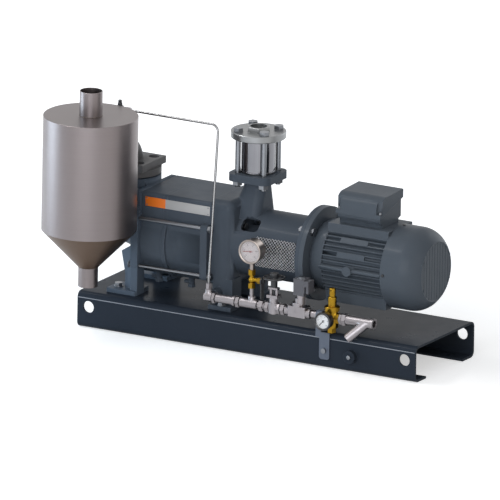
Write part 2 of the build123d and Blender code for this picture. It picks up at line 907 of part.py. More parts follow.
export_step(suction_housing.part, "parts/suction_housing.step")

# Tie rods with a nut at each end
with BuildPart() as tie_rods:
    for rod_y, rod_z in rod_places():
        bar_x(
            plate_left - rod_nut_height - 3,
            suction_left + rod_nut_height + 3,
            rod_y,
            rod_z,
            rod_diameter / 2,
        )
        hexagon(
            Plane((plate_left, rod_y, rod_z), x_dir=(0, 1, 0), z_dir=(-1, 0, 0)),
            rod_nut_height,
            rod_nut_flats,
        )
        hexagon(
            Plane((suction_left, rod_y, rod_z), x_dir=(0, 1, 0), z_dir=(1, 0, 0)),
            rod_nut_height,
            rod_nut_flats,
        )
tie_rods.part.label = "tie_rods"
export_step(tie_rods.part, "parts/tie_rods.step")

# Pump shaft, stepped for its two bearings and the coupling
coupling_mid = motor_left - motor_shaft_length - 25.0
pump_hub_left = coupling_mid - jaw_length / 2 - coupling_plate - coupling_hub_length
motor_hub_right = coupling_mid + jaw_length / 2 + coupling_plate + coupling_hub_length
with BuildPart() as pump_shaft:
    bar_x(boss_left + 5, pump_hub_left + coupling_hub_length + 6, shaft_y, shaft_z, shaft_step / 2)
    bar_x(left_bearing + bearing_width, right_bearing, shaft_y, shaft_z, shaft_diameter / 2)
    chamfer(pump_shaft.faces().filter_by(Axis.X).sort_by(Axis.X)[0].edges(), 2.0)
pump_shaft.part.label = "pump_shaft"
export_step(pump_shaft.part, "parts/pump_shaft.step")

# One curved impeller blade, seen along the shaft
with BuildSketch(Plane.YZ, mode=Mode.PRIVATE) as blade:
    with BuildLine():
        blade_line = ThreePointArc(
            (impeller_hub / 2 - 3, 0),
            (impeller_diameter / 4 + 16, 5.0),
            (impeller_diameter / 2 * cos(radians(14)), impeller_diameter / 2 * sin(radians(14))),
        )
    trace(line_width=blade_thickness)


def impeller_body(start, end, disc_at_start):
    """Hub, side disc and curved blades of one impeller."""
    bar_x(start, end, shaft_y, shaft_z, impeller_hub / 2)
    disc_start = start if disc_at_start else end - blade_thickness
    bar_x(disc_start, disc_start + blade_thickness, shaft_y, shaft_z, impeller_diameter / 2 - 1)
    with BuildSketch(Plane.YZ.offset(start), mode=Mode.PRIVATE) as blades:
        with Locations((shaft_y, shaft_z)):
            with PolarLocations(0, blade_count):
                add(blade.sketch_local)
        with Locations((shaft_y, shaft_z)):
            Circle(impeller_diameter / 2, mode=Mode.INTERSECT)
    extrude(blades.sketch, amount=end - start)
    bar_x(start - 1, end + 1, shaft_y, shaft_z, shaft_diameter / 2, Mode.SUBTRACT)


with BuildPart() as first_impeller:
    impeller_body(first_left + impeller_side_gap, suction_left - impeller_side_gap, False)
first_impeller.part.label = "first_impeller"
export_step(first_impeller.part, "parts/first_impeller.step")

with BuildPart() as second_impeller:
    impeller_body(second_left + impeller_side_gap, center_left - impeller_side_gap, True)
second_impeller.part.label = "second_impeller"
export_step(second_impeller.part, "parts/second_impeller.step")

# Four equal ball bearings: two on the pump shaft, two on the motor shaft
with BuildPart() as ball_bearings:
    for bearing_left in (left_bearing, right_bearing, drive_bearing, fan_bearing):
        bearing_right = bearing_left + bearing_width
        bar_x(bearing_left, bearing_right, shaft_y, shaft_z, bearing_outer / 2)
        for groove_left in (bearing_left - 1, bearing_right - 1.5):
            bar_x(groove_left, groove_left + 2.5, shaft_y, shaft_z, bearing_outer / 2 - 4, Mode.SUBTRACT)
            bar_x(groove_left, groove_left + 2.5, shaft_y, shaft_z, bearing_bore / 2 + 4)
        bar_x(bearing_left - 3, bearing_left, shaft_y, shaft_z, bearing_outer / 2, Mode.SUBTRACT)
        bar_x(bearing_right, bearing_right + 3, shaft_y, shaft_z, bearing_outer / 2, Mode.SUBTRACT)
        bar_x(
            bearing_left - 1,
            bearing_right + 1,
            shaft_y,
            shaft_z,
            bearing_bore / 2 + running_gap,
            Mode.SUBTRACT,
        )
ball_bearings.part.label = "ball_bearings"
export_step(ball_bearings.part, "parts/ball_bearings.step")

# Seal seat in the lantern wall
with BuildPart() as shaft_seal:
    bar_x(lantern_left, lantern_left + seal_chamber_length, shaft_y, shaft_z, seal_diameter / 2)
    bar_x(
        lantern_left + 4,
        lantern_left + seal_chamber_length + 1,
        shaft_y,
        shaft_z,
        seal_diameter / 2 - 5,
        Mode.SUBTRACT,
    )
    bar_x(
        lantern_left - 1,
        lantern_left + seal_chamber_length + 1,
        shaft_y,
        shaft_z,
        shaft_diameter / 2 + running_gap,
        Mode.SUBTRACT,
    )
shaft_seal.part.label = "shaft_seal"
export_step(shaft_seal.part, "parts/shaft_seal.step")

# Perforated guards over the lantern's side openings
guard_left = opening_left - guard_margin
guard_right = opening_left + guard_opening_length + guard_margin
guard_half_height = guard_opening_height / 2 + guard_margin * 0.7
guard_inside = lantern_diameter / 2 + seat_gap
with BuildPart() as coupling_guards:
    bar_x(guard_left, guard_right, shaft_y, shaft_z, guard_inside + guard_sheet)
    bar_x(guard_left - 1, guard_right + 1, shaft_y, shaft_z, guard_inside, Mode.SUBTRACT)
    block(
        (guard_left - 1, guard_right + 1),
        (shaft_y - lantern_diameter, shaft_y + lantern_diameter),
        (shaft_z + guard_half_height, shaft_z + lantern_diameter),
        Mode.SUBTRACT,
    )
    block(
        (guard_left - 1, guard_right + 1),
        (shaft_y - lantern_diameter, shaft_y + lantern_diameter),
        (shaft_z - lantern_diameter, shaft_z - guard_half_height),
        Mode.SUBTRACT,
    )
    hole_columns = int((guard_right - guard_left - 14) / guard_pitch)
    hole_rows = int((2 * guard_half_height - 14) / guard_pitch)
    with BuildSketch(Plane.XZ.offset(-shaft_y - lantern_diameter)):
        with Locations(((guard_left + guard_right) / 2, shaft_z)):
            with GridLocations(guard_pitch, guard_pitch, hole_columns, hole_rows):
                Rectangle(guard_hole, guard_hole, rotation=45)
    extrude(amount=2 * lantern_diameter, mode=Mode.SUBTRACT)
coupling_guards.part.label = "coupling_guards"
export_step(coupling_guards.part, "parts/coupling_guards.step")


# Flexible coupling: two jaw hubs and the elastic spider between them
jaw_left = coupling_mid - jaw_length / 2
jaw_right = coupling_mid + jaw_length / 2


def coupling_half(hub_start, hub_end, plate_start, jaw_plane, turn):
    """One hub with its plate and jaws, bored for the shaft."""
    bar_x(hub_start, hub_end, shaft_y, shaft_z, coupling_hub_diameter / 2)
    bar_x(plate_start, plate_start + coupling_plate, shaft_y, shaft_z, coupling_diameter / 2)
    for index in range(jaw_count // 2):
        angle = radians(turn + index * 360 / (jaw_count // 2))
        jaw_y = shaft_y + coupling_diameter * 0.34 * cos(angle)
        jaw_z = shaft_z + coupling_diameter * 0.34 * sin(angle)
        bar_x(jaw_plane, jaw_plane + jaw_length - coupling_gap, jaw_y, jaw_z, coupling_diameter * 0.12)


with BuildPart() as pump_coupling_half:
    coupling_half(pump_hub_left, jaw_left, jaw_left - coupling_plate, jaw_left, 0)
    bar_x(pump_hub_left - 1, jaw_left - 1, shaft_y, shaft_z, shaft_step / 2, Mode.SUBTRACT)
pump_coupling_half.part.label = "pump_coupling_half"
export_step(pump_coupling_half.part, "parts/pump_coupling_half.step")

with BuildPart() as motor_coupling_half:
    coupling_half(jaw_right, motor_hub_right, jaw_right, jaw_left + coupling_gap, 90)
    bar_x(jaw_right + 1, motor_hub_right + 1, shaft_y, shaft_z, motor_shaft_diameter / 2, Mode.SUBTRACT)
motor_coupling_half.part.label = "motor_coupling_half"
export_step(motor_coupling_half.part, "parts/motor_coupling_half.step")

with BuildPart() as coupling_spider:
    bar_x(jaw_left + coupling_gap, jaw_right - coupling_gap, shaft_y, shaft_z, coupling_diameter / 2 - 1)
    bar_x(jaw_left, jaw_right, shaft_y, shaft_z, coupling_diameter * 0.14, Mode.SUBTRACT)
    for index in range(jaw_count):
        angle = radians(index * 360 / jaw_count)
        jaw_y = shaft_y + coupling_diameter * 0.34 * cos(angle)
        jaw_z = shaft_z + coupling_diameter * 0.34 * sin(angle)
        bar_x(jaw_left, jaw_right, jaw_y, jaw_z, coupling_diameter * 0.12 + seat_gap, Mode.SUBTRACT)
coupling_spider.part.label = "coupling_spider"
export_step(coupling_spider.part, "parts/coupling_spider.step")

# Motor's drive end shield with its big flange
with BuildPart() as motor_flange:
    bar_x(motor_left, motor_left + motor_flange_thickness, shaft_y, shaft_z, lantern_flange_diameter / 2)
    with BuildSketch(Plane.XZ.offset(-shaft_y)):
        with BuildLine():
            Polyline(
                (motor_left + motor_flange_thickness, shaft_z),
                (motor_left + motor_flange_thickness, shaft_z + end_shield_diameter / 2 - 12),
                (motor_left + motor_flange_thickness + 10, shaft_z + end_shield_diameter / 2 - 4),
                (shield_right, shaft_z + end_shield_diameter / 2),
                (shield_right, shaft_z),
                close=True,
            )
        make_face()
    revolve(axis=Axis((0, shaft_y, shaft_z), (1, 0, 0)))
    bar_x(motor_left + 22, shield_right + 1, shaft_y, shaft_z, stator_bore / 2, Mode.SUBTRACT)
    bar_x(motor_left + 2, drive_bearing + bearing_width, shaft_y, shaft_z, bearing_outer / 2 + 8)
    bar_x(motor_left - 1, shield_right, shaft_y, shaft_z, shaft_step / 2 + shaft_bore_gap, Mode.SUBTRACT)
    bar_x(drive_bearing, shield_right, shaft_y, shaft_z, bearing_outer / 2, Mode.SUBTRACT)
    with Locations(Location((motor_left, shaft_y, shaft_z), (0, 90, 0))):
        with PolarLocations(motor_bolt_circle / 2, 4, start_angle=45):
            Cylinder(motor_bolt_diameter / 2 + 1, 4 * motor_flange_thickness, mode=Mode.SUBTRACT)
motor_flange.part.label = "motor_flange"
export_step(motor_flange.part, "parts/motor_flange.step")

# Bolts that join the lantern to the motor flange, and the bearing housing's screws
motor_bolt_flats = 19.0
motor_bolt_head = 8.0
motor_nut_height = 10.0
with BuildPart() as flange_bolts:
    for index in range(4):
        angle = radians(45 + 90 * index)
        bolt_y = shaft_y + motor_bolt_circle / 2 * cos(angle)
        bolt_z = shaft_z + motor_bolt_circle / 2 * sin(angle)
        nut_face = motor_left - lantern_flange_thickness
        head_face = motor_left + motor_flange_thickness
        hexagon(
            Plane((nut_face, bolt_y, bolt_z), x_dir=(0, 1, 0), z_dir=(-1, 0, 0)),
            motor_nut_height,
            motor_bolt_flats,
        )
        hexagon(
            Plane((head_face, bolt_y, bolt_z), x_dir=(0, 1, 0), z_dir=(1, 0, 0)),
            motor_bolt_head,
            motor_bolt_flats,
        )
        bar_x(nut_face - motor_nut_height - 4, head_face, bolt_y, bolt_z, motor_bolt_diameter / 2)
    for screw_y, screw_z in housing_screws:
        screw_seat = lantern_left + housing_screw_boss
        hexagon(
            Plane((screw_seat, screw_y, screw_z), x_dir=(0, 1, 0), z_dir=(1, 0, 0)),
            housing_screw_head,
            housing_screw_flats,
        )
flange_bolts.part.label = "flange_bolts"
export_step(flange_bolts.part, "parts/flange_bolts.step")

# Stator housing with cooling fins, a flat belly and a shoulder for the terminal box
with BuildPart() as stator_housing:
    with BuildSketch(Plane.YZ.offset(shield_right)):
        with Locations((shaft_y, shaft_z)):
            Circle(stator_diameter / 2)
            with PolarLocations(stator_diameter / 2 + fin_height / 2 - 1, fin_count):
                Rectangle(fin_height + 2, fin_thickness)
    extrude(amount=stator_length)
    with BuildSketch(Plane.YZ.offset(shield_right)):
        with Locations((shaft_y, (belly_top + belly_bottom) / 2)):
            Rectangle(belly_width, belly_top - belly_bottom)
        with Locations((shaft_y, (shoulder_top + shaft_z + stator_bore / 2) / 2)):
            Rectangle(shoulder_width, shoulder_top - shaft_z - stator_bore / 2)
    extrude(amount=stator_length - cowl_overlap - 2)
    pad_radius = stator_diameter / 2 + fin_height + 1
    for pad_angle in pad_angles:
        with Locations(Location((shield_right + pad_start, shaft_y, shaft_z), (pad_angle, 0, 0))):
            Box(pad_length, pad_radius, pad_width, align=(Align.MIN, Align.MIN, Align.CENTER))
    bar_x(
        shield_right,
        cowl_left - 1,
        shaft_y - conduit_depth,
        shaft_z - conduit_drop,
        conduit_diameter / 2,
    )
    bar_y(
        shaft_y - conduit_depth - conduit_diameter,
        shaft_y - stator_diameter / 2 + 2,
        shield_right + conduit_boss_from_shield,
        shaft_z - conduit_drop,
        conduit_boss_diameter / 2,
    )
    bar_x(shield_right - 1, stator_right + 1, shaft_y, shaft_z, stator_bore / 2, Mode.SUBTRACT)
stator_housing.part.label = "stator_housing"
export_step(stator_housing.part, "parts/stator_housing.step")

# Stator core with its winding heads
core_left = shield_right + core_inset
core_right = core_left + core_length
with BuildPart() as stator_core:
    bar_x(core_left, core_right, shaft_y, shaft_z, stator_bore / 2)
    bar_x(core_left - 18, core_right + 18, shaft_y, shaft_z, stator_bore / 2 - 4)
    bar_x(core_left - 19, core_right + 19, shaft_y, shaft_z, rotor_diameter / 2 + rotor_gap, Mode.SUBTRACT)
stator_core.part.label = "stator_core"
export_step(stator_core.part, "parts/stator_core.step")

# Rear end shield behind the fan, with ears that carry the cowl
ear_reach = cowl_diameter / 2 - cowl_sheet - 0.4
with BuildPart() as rear_end_shield:
    bar_x(stator_right, stator_right + rear_shield_thickness, shaft_y, shaft_z, stator_diameter / 2)
    bar_x(fan_bearing - 2, stator_right + rear_shield_thickness, shaft_y, shaft_z, bearing_outer / 2 + 8)
    for index in range(4):
        with Locations(Location((stator_right, shaft_y, shaft_z), (45 + 90 * index, 0, 0))):
            Box(rear_shield_thickness, ear_reach, 16, align=(Align.MIN, Align.MIN, Align.CENTER))
    bar_x(
        fan_bearing - 3,
        stator_right + 20,
        shaft_y,
        shaft_z,
        shaft_step / 2 + shaft_bore_gap,
        Mode.SUBTRACT,
    )
    bar_x(fan_bearing - 3, fan_bearing + bearing_width, shaft_y, shaft_z, bearing_outer / 2, Mode.SUBTRACT)
rear_end_shield.part.label = "rear_end_shield"
export_step(rear_end_shield.part, "parts/rear_end_shield.step")

# Motor rotor: shaft and core
fan_left = stator_right + rear_shield_thickness + fan_gap
fan_right = fan_left + fan_width
with BuildPart() as motor_rotor:
    bar_x(motor_left - motor_shaft_length, motor_left + 4, shaft_y, shaft_z, motor_shaft_diameter / 2)
    bar_x(motor_left + 4, fan_bearing + bearing_width, shaft_y, shaft_z, shaft_step / 2)
    bar_x(fan_bearing + bearing_width, fan_right - 2, shaft_y, shaft_z, fan_seat_diameter / 2)
    bar_x(core_left, core_right, shaft_y, shaft_z, rotor_diameter / 2)
motor_rotor.part.label = "motor_rotor"
export_step(motor_rotor.part, "parts/motor_rotor.step")

# Cooling fan under the cowl
with BuildPart() as cooling_fan:
    bar_x(fan_left, fan_right, shaft_y, shaft_z, 24.0)
    bar_x(fan_left, fan_left + 3, shaft_y, shaft_z, fan_diameter / 2 - 8)
    for index in range(fan_blades):
        with Locations(Location((fan_left, shaft_y, shaft_z), (index * 360 / fan_blades, 0, 0))):
            Box(fan_width - 4, fan_diameter / 2, 3, align=(Align.MIN, Align.MIN, Align.CENTER))
    bar_x(fan_left - 1, fan_right + 1, shaft_y, shaft_z, fan_seat_diameter / 2, Mode.SUBTRACT)
cooling_fan.part.label = "cooling_fan"
export_step(cooling_fan.part, "parts/cooling_fan.step")

# Fan cowl: thin shell with a domed end and a grille of rings
with BuildPart() as fan_cowl:
    with BuildSketch(Plane.XZ.offset(-shaft_y)):
        with BuildLine():
            Line((cowl_left, shaft_z), (cowl_left, shaft_z + cowl_diameter / 2))
            Line(
                (cowl_left, shaft_z + cowl_diameter / 2),
                (cowl_left + cowl_straight, shaft_z + cowl_diameter / 2),
            )
            dome = TangentArc(
                (cowl_left + cowl_straight, shaft_z + cowl_diameter / 2),
                (cowl_right - 3, shaft_z + grille_diameter / 2 + 4),
                tangent=(1, 0),
            )
            Line(dome @ 1, (cowl_right, shaft_z + grille_diameter / 2))
            Line((cowl_right, shaft_z + grille_diameter / 2), (cowl_right, shaft_z))
            Line((cowl_right, shaft_z), (cowl_left, shaft_z))
        make_face()
    revolve(axis=Axis((0, shaft_y, shaft_z), (1, 0, 0)))
    offset(amount=-cowl_sheet, openings=fan_cowl.faces().sort_by(Axis.X)[0])
    ring_pitch = (grille_diameter / 2 - 22) / grille_rings
    with BuildSketch(Plane.YZ.offset(cowl_right - 2 * cowl_sheet)) as slots:
        with Locations((shaft_y, shaft_z)):
            for ring in reversed(range(grille_rings)):
                slot_radius = 20 + ring * ring_pitch
                Circle(slot_radius + grille_slot / 2)
                Circle(slot_radius - grille_slot / 2, mode=Mode.SUBTRACT)
            with PolarLocations(0, grille_spokes):
                Rectangle(grille_diameter, 4, align=(Align.MIN, Align.CENTER), mode=Mode.SUBTRACT)
    extrude(amount=4 * cowl_sheet, mode=Mode.SUBTRACT)
fan_cowl.part.label = "fan_cowl"
export_step(fan_cowl.part, "parts/fan_cowl.step")

# Terminal box with a slanting rim, and its rounded lid
box_left = shield_right + box_from_shield
box_right = box_left + box_length
box_front = shaft_y - box_width / 2
box_back = shaft_y + box_width / 2
with BuildPart() as terminal_box:
    with BuildSketch(Plane.YZ.offset(box_left)):
        with BuildLine():
            Polyline(
                (box_front + box_pedestal_inset, shoulder_top),
                (box_back - box_pedestal_inset, shoulder_top),
                (box_back - box_pedestal_inset, box_pedestal_top),
                (box_back, box_pedestal_top + 3),
                (box_back, box_back_split),
                (box_front, box_front_split),
                (box_front, box_front_split - 9),
                (box_front + box_pedestal_inset, box_pedestal_top),
                close=True,
            )
        make_face()
    extrude(amount=box_length)
    fillet(terminal_box.edges().filter_by(Axis.Z), 4.0)
terminal_box.part.label = "terminal_box"
export_step(terminal_box.part, "parts/terminal_box.step")

with BuildPart() as terminal_box_lid:
    with BuildSketch(Plane.YZ.offset(box_left - lid_overhang)):
        with BuildLine():
            front_lip = (box_front - lid_overhang, box_front_split)
            Line(front_lip, (front_lip[0], box_top - lid_round - 6))
            crown = TangentArc(
                (front_lip[0], box_top - lid_round - 6),
                (front_lip[0] + lid_round + 6, box_top - 3),
                tangent=(0, 1),
            )
            Line(crown @ 1, (box_back + lid_overhang, box_top))
            Line((box_back + lid_overhang, box_top), (box_back + lid_overhang, box_back_split))
            Line((box_back + lid_overhang, box_back_split), (box_back, box_back_split))
            Line((box_back, box_back_split), (box_front, box_front_split))
            Line((box_front, box_front_split), front_lip)
        make_face()
    extrude(amount=box_length + 2 * lid_overhang)
    for corner_x in (box_left - lid_overhang, box_right + lid_overhang - lid_notch):
        block(
            (corner_x, corner_x + lid_notch),
            (box_front - lid_overhang - 1, box_front + 9),
            (box_front_split + 12, box_top),
            Mode.SUBTRACT,
        )
terminal_box_lid.part.label = "terminal_box_lid"
export_step(terminal_box_lid.part, "parts/terminal_box_lid.step")

# Non-return valve: polished tube between the suction flange and its own flange
tube_bottom = suction_flange_top + valve_gasket_thickness
tube_top = tube_bottom + valve_tube_height
valve_flange_top = tube_top + valve_flange_thickness
with BuildPart() as valve_tube:
    bar_z(tube_bottom, tube_top, neck_x, shaft_y, valve_tube_diameter / 2)
    bar_z(tube_bottom, tube_bottom + 4, neck_x, shaft_y, valve_tube_diameter / 2 + 2)
    bar_z(tube_top - 4, tube_top, neck_x, shaft_y, valve_tube_diameter / 2 + 1)
    bar_z(
        tube_bottom - 1,
        tube_top + 1,
        neck_x,
        shaft_y,
        valve_tube_diameter / 2 - valve_tube_wall,
        Mode.SUBTRACT,
    )
valve_tube.part.label = "valve_tube"
export_step(valve_tube.part, "parts/valve_tube.step")

with BuildPart() as valve_flange:
    bar_z(tube_top, valve_flange_top, neck_x, shaft_y, valve_flange_diameter / 2)
    chamfer(valve_flange.edges().filter_by(GeomType.CIRCLE), 1.5)
    hexagon(Plane((neck_x, shaft_y, valve_flange_top - 1)), valve_hub_height + 1, valve_hub_flats)
    chamfer(valve_flange.faces().sort_by(Axis.Z)[-1].edges(), 2.0)
    bar_z(
        tube_top - 1,
        valve_flange_top + valve_hub_height + 1,
        neck_x,
        shaft_y,
        flange_bore / 2,
        Mode.SUBTRACT,
    )
    with Locations((neck_x, shaft_y, tube_top)):
        with PolarLocations(flange_pitch_circle / 2, 4, start_angle=45):
            Cylinder(valve_rod_hole / 2, 3 * valve_flange_thickness, mode=Mode.SUBTRACT)
valve_flange.part.label = "valve_flange"
export_step(valve_flange.part, "parts/valve_flange.step")

nut_seat = suction_flange_top - suction_flange_thickness
with BuildPart() as valve_rods:
    for side_x in (-1, 1):
        for side_y in (-1, 1):
            rod_x = neck_x + side_x * bolt_reach
            rod_y = shaft_y + side_y * bolt_reach
            bar_z(nut_seat - valve_nut_height - 5, valve_flange_top, rod_x, rod_y, valve_rod_diameter / 2)
            hexagon(Plane((rod_x, rod_y, valve_flange_top)), valve_head_height, valve_head_flats)
            hexagon(Plane((rod_x, rod_y, nut_seat - valve_nut_height)), valve_nut_height, valve_head_flats)
valve_rods.part.label = "valve_rods"
export_step(valve_rods.part, "parts/valve_rods.step")

# Valve disc that seats under the flange and drops into the tube, guided by a cage
disc_top = tube_top - 0.3
with BuildPart() as valve_disc:
    bar_z(disc_top - valve_disc_thickness, disc_top, neck_x, shaft_y, valve_disc_diameter / 2)
    bar_z(
        disc_top - valve_cage_drop - valve_cage_height - 6,
        disc_top,
        neck_x,
        shaft_y,
        valve_stem_diameter / 2,
    )
valve_disc.part.label = "valve_disc"
export_step(valve_disc.part, "parts/valve_disc.step")

cage_top = disc_top - valve_cage_drop
cage_radius = valve_tube_diameter / 2 - valve_tube_wall
with BuildPart() as valve_cage:
    bar_z(cage_top - valve_cage_height, cage_top, neck_x, shaft_y, cage_radius)
    bar_z(cage_top - valve_cage_height - 1, cage_top + 1, neck_x, shaft_y, cage_radius - 5, Mode.SUBTRACT)
    for turn in (0, 90):
        with Locations(Location((neck_x, shaft_y, cage_top - valve_cage_height / 2), (0, 0, turn))):
            Box(2 * cage_radius - 4, 7, valve_cage_height)
    bar_z(cage_top - valve_cage_height, cage_top, neck_x, shaft_y, valve_stem_diameter / 2 + 4)
    bar_z(
        cage_top - valve_cage_height - 1,
        cage_top + 1,
        neck_x,
        shaft_y,
        valve_stem_diameter / 2 + running_gap,
        Mode.SUBTRACT,
    )
valve_cage.part.label = "valve_cage"
export_step(valve_cage.part, "parts/valve_cage.step")

# Gaskets under the discharge flange and under the valve tube
loose_flange_bottom = discharge_flange_top + gasket_thickness
plate_bottom = loose_flange_bottom + loose_flange_thickness
plate_top = plate_bottom + square_plate_thickness
with BuildPart() as flange_gaskets:
    bar_z(discharge_flange_top, loose_flange_bottom, discharge_x, shaft_y, flange_pitch_circle / 2 - 9)
    bar_z(
        discharge_flange_top - 1,
        loose_flange_bottom + 1,
        discharge_x,
        shaft_y,
        flange_bore / 2,
        Mode.SUBTRACT,
    )
    bar_z(suction_flange_top, tube_bottom, neck_x, shaft_y, valve_tube_diameter / 2)
    bar_z(suction_flange_top - 1, tube_bottom + 1, neck_x, shaft_y, flange_bore / 2, Mode.SUBTRACT)
flange_gaskets.part.label = "flange_gaskets"
export_step(flange_gaskets.part, "parts/flange_gaskets.step")

with BuildPart() as discharge_flange:
    bar_z(loose_flange_bottom, plate_bottom, discharge_x, shaft_y, flange_diameter / 2)
    bar_z(loose_flange_bottom - 1, plate_bottom + 1, discharge_x, shaft_y, flange_bore / 2, Mode.SUBTRACT)
    with Locations((discharge_x, shaft_y, plate_bottom)):
        with PolarLocations(flange_pitch_circle / 2, 4, start_angle=45):
            Cylinder(flange_bolt_hole / 2, 3 * loose_flange_thickness, mode=Mode.SUBTRACT)
discharge_flange.part.label = "discharge_flange"
export_step(discharge_flange.part, "parts/discharge_flange.step")

discharge_bolt_radius = 8.0
discharge_bolt_flats = 24.0
discharge_bolt_head = 10.0
discharge_nut_height = 13.0
discharge_nut_seat = discharge_flange_top - pump_flange_thickness
with BuildPart() as discharge_bolts:
    for side_x in (-1, 1):
        for side_y in (-1, 1):
            bolt_x = discharge_x + side_x * bolt_reach
            bolt_y = shaft_y + side_y * bolt_reach
            bar_z(
                discharge_nut_seat - discharge_nut_height - 4,
                plate_bottom,
                bolt_x,
                bolt_y,
                discharge_bolt_radius,
            )
            hexagon(Plane((bolt_x, bolt_y, plate_bottom)), discharge_bolt_head, discharge_bolt_flats)
            hexagon(
                Plane((bolt_x, bolt_y, discharge_nut_seat - discharge_nut_height)),
                discharge_nut_height,
                discharge_bolt_flats,
            )
discharge_bolts.part.label = "discharge_bolts"
export_step(discharge_bolts.part, "parts/discharge_bolts.step")

# Discharge elbow: square plate with a bent pipe welded on, into the tank's back
elbow_top = plate_top + elbow_radius
tank_inside = tank_diameter / 2 - tank_wall
with BuildPart() as discharge_elbow:
    with BuildSketch(Plane.XY.offset(plate_bottom)):
        with Locations((discharge_x, shaft_y)):
            Rectangle(square_plate, square_plate)
            Circle(flange_bore / 2, mode=Mode.SUBTRACT)
            with PolarLocations(flange_pitch_circle / 2, 4, start_angle=45):
                Circle(plate_hole_diameter / 2, mode=Mode.SUBTRACT)
    extrude(amount=square_plate_thickness)
    with BuildLine() as elbow_path:
        Line((discharge_x, shaft_y, plate_bottom + 2), (discharge_x, shaft_y, plate_top))
        TangentArc(
            (discharge_x, shaft_y, plate_top),
            (discharge_x, shaft_y - elbow_radius, elbow_top),
            tangent=(0, 0, 1),
        )
        Line(
            (discharge_x, shaft_y - elbow_radius, elbow_top),
            (discharge_x, tank_y + tank_inside - 3, elbow_top),
        )
    with BuildSketch(Plane((discharge_x, shaft_y, plate_bottom + 2))):
        Circle(elbow_pipe_diameter / 2)
        Circle(elbow_pipe_diameter / 2 - elbow_pipe_wall, mode=Mode.SUBTRACT)
    sweep(path=elbow_path.line)
discharge_elbow.part.label = "discharge_elbow"
export_step(discharge_elbow.part, "parts/discharge_elbow.step")

# Separator tank: shell with a flat top and outlet stub, and a cone with a drain stub
tube_y = tank_y + tank_diameter / 2 + tube_standoff
tube_height = tank_top - tube_below_tank_top
with BuildPart() as separator_shell:
    bar_z(tank_bottom, tank_top, tank_x, tank_y, tank_diameter / 2)
    bar_z(tank_top - tank_wall, outlet_top, tank_x, tank_y, outlet_diameter / 2)
    bar_z(tank_bottom - 1, tank_top - tank_wall, tank_x, tank_y, tank_inside, Mode.SUBTRACT)
    bar_z(
        tank_top - 2 * tank_wall,
        outlet_top + 1,
        tank_x,
        tank_y,
        outlet_diameter / 2 - tank_wall,
        Mode.SUBTRACT,
    )
    bar_y(
        tank_y + tank_inside - 20,
        tank_y + tank_diameter,
        tank_x,
        elbow_top,
        elbow_pipe_diameter / 2,
        Mode.SUBTRACT,
    )
    bar_y(
        tank_y + tank_inside - 12,
        tank_y + tank_diameter,
        tank_x + 8,
        tube_height,
        tube_port_diameter / 2 - 1.8,
        Mode.SUBTRACT,
    )
separator_shell.part.label = "separator_shell"
export_step(separator_shell.part, "parts/separator_shell.step")

with BuildPart() as separator_cone:
    with BuildSketch(Plane.XZ.offset(-tank_y)):
        with BuildLine():
            Polyline(
                (tank_x + tank_diameter / 2, tank_bottom),
                (tank_x + drain_diameter / 2, cone_bottom),
                (tank_x + drain_diameter / 2, drain_bottom),
                (tank_x + drain_diameter / 2 - tank_wall, drain_bottom),
                (tank_x + drain_diameter / 2 - tank_wall, cone_bottom + 1),
                (tank_x + tank_diameter / 2 - 1.3 * tank_wall, tank_bottom),
                close=True,
            )
        make_face()
    revolve(axis=Axis((tank_x, tank_y, 0), (0, 0, 1)))
separator_cone.part.label = "separator_cone"
export_step(separator_cone.part, "parts/separator_cone.step")

# Balance tube from the line's tee up and along to the tank's back wall
tube_corner_x = base_left + tube_corner_from_left
tee_x = base_left + tee_from_left
tee_top = line_z + fitting_diameter / 2 + 8
fitting_x = tank_x + 8
with BuildPart() as balance_tube:
    with BuildLine() as tube_path:
        FilletPolyline(
            (tee_x, line_y, tee_top),
            (tee_x, line_y, tee_top + tube_nut_length + 12),
            (tube_corner_x, tube_y, tube_height),
            (fitting_x + 12, tube_y, tube_height),
            radius=tube_bend,
        )
    with BuildSketch(Plane(tube_path.line @ 0, z_dir=tube_path.line % 0)):
        Circle(tube_diameter / 2)
        Circle(tube_bore / 2, mode=Mode.SUBTRACT)
    sweep(path=tube_path.line)
balance_tube.part.label = "balance_tube"
export_step(balance_tube.part, "parts/balance_tube.step")

# Compression fittings at the tube's two ends
with BuildPart() as tube_fittings:
    bar_y(tank_y + tank_diameter / 2 - 1, tube_y + 7, fitting_x, tube_height, tube_port_diameter / 2 - 2)
    with Locations((fitting_x, tube_y, tube_height)):
        Box(16, 15, 16)
    hexagon(Plane((fitting_x + 8, tube_y, tube_height), z_dir=(1, 0, 0)), 8.0, tube_nut_flats - 2)
    hexagon(Plane((fitting_x + 16, tube_y, tube_height), z_dir=(1, 0, 0)), tube_nut_length, tube_nut_flats)
    hexagon(Plane((tee_x, line_y, tee_top)), tube_nut_length, tube_nut_flats)
    bar_x(fitting_x + 10, fitting_x + 40, tube_y, tube_height, tube_diameter / 2, Mode.SUBTRACT)
    bar_z(tee_top - 1, tee_top + tube_nut_length + 1, tee_x, line_y, tube_diameter / 2, Mode.SUBTRACT)
tube_fittings.part.label = "tube_fittings"
export_step(tube_fittings.part, "parts/tube_fittings.step")


def nipple(start, end):
    """Pipe nipple along the line with a hexagon in its middle."""
    bar_x(start, end, line_y, line_z, line_pipe_diameter / 2)
    middle = (start + end) / 2
    half = min(6.0, (end - start) / 3)
    hexagon(Plane((middle - half, line_y, line_z), x_dir=(0, 1, 0), z_dir=(1, 0, 0)), 2 * half, hex_flats)


def line_through(start, end):
    """Bore along the line."""
    bar_x(start, end, line_y, line_z, line_bore / 2, Mode.SUBTRACT)


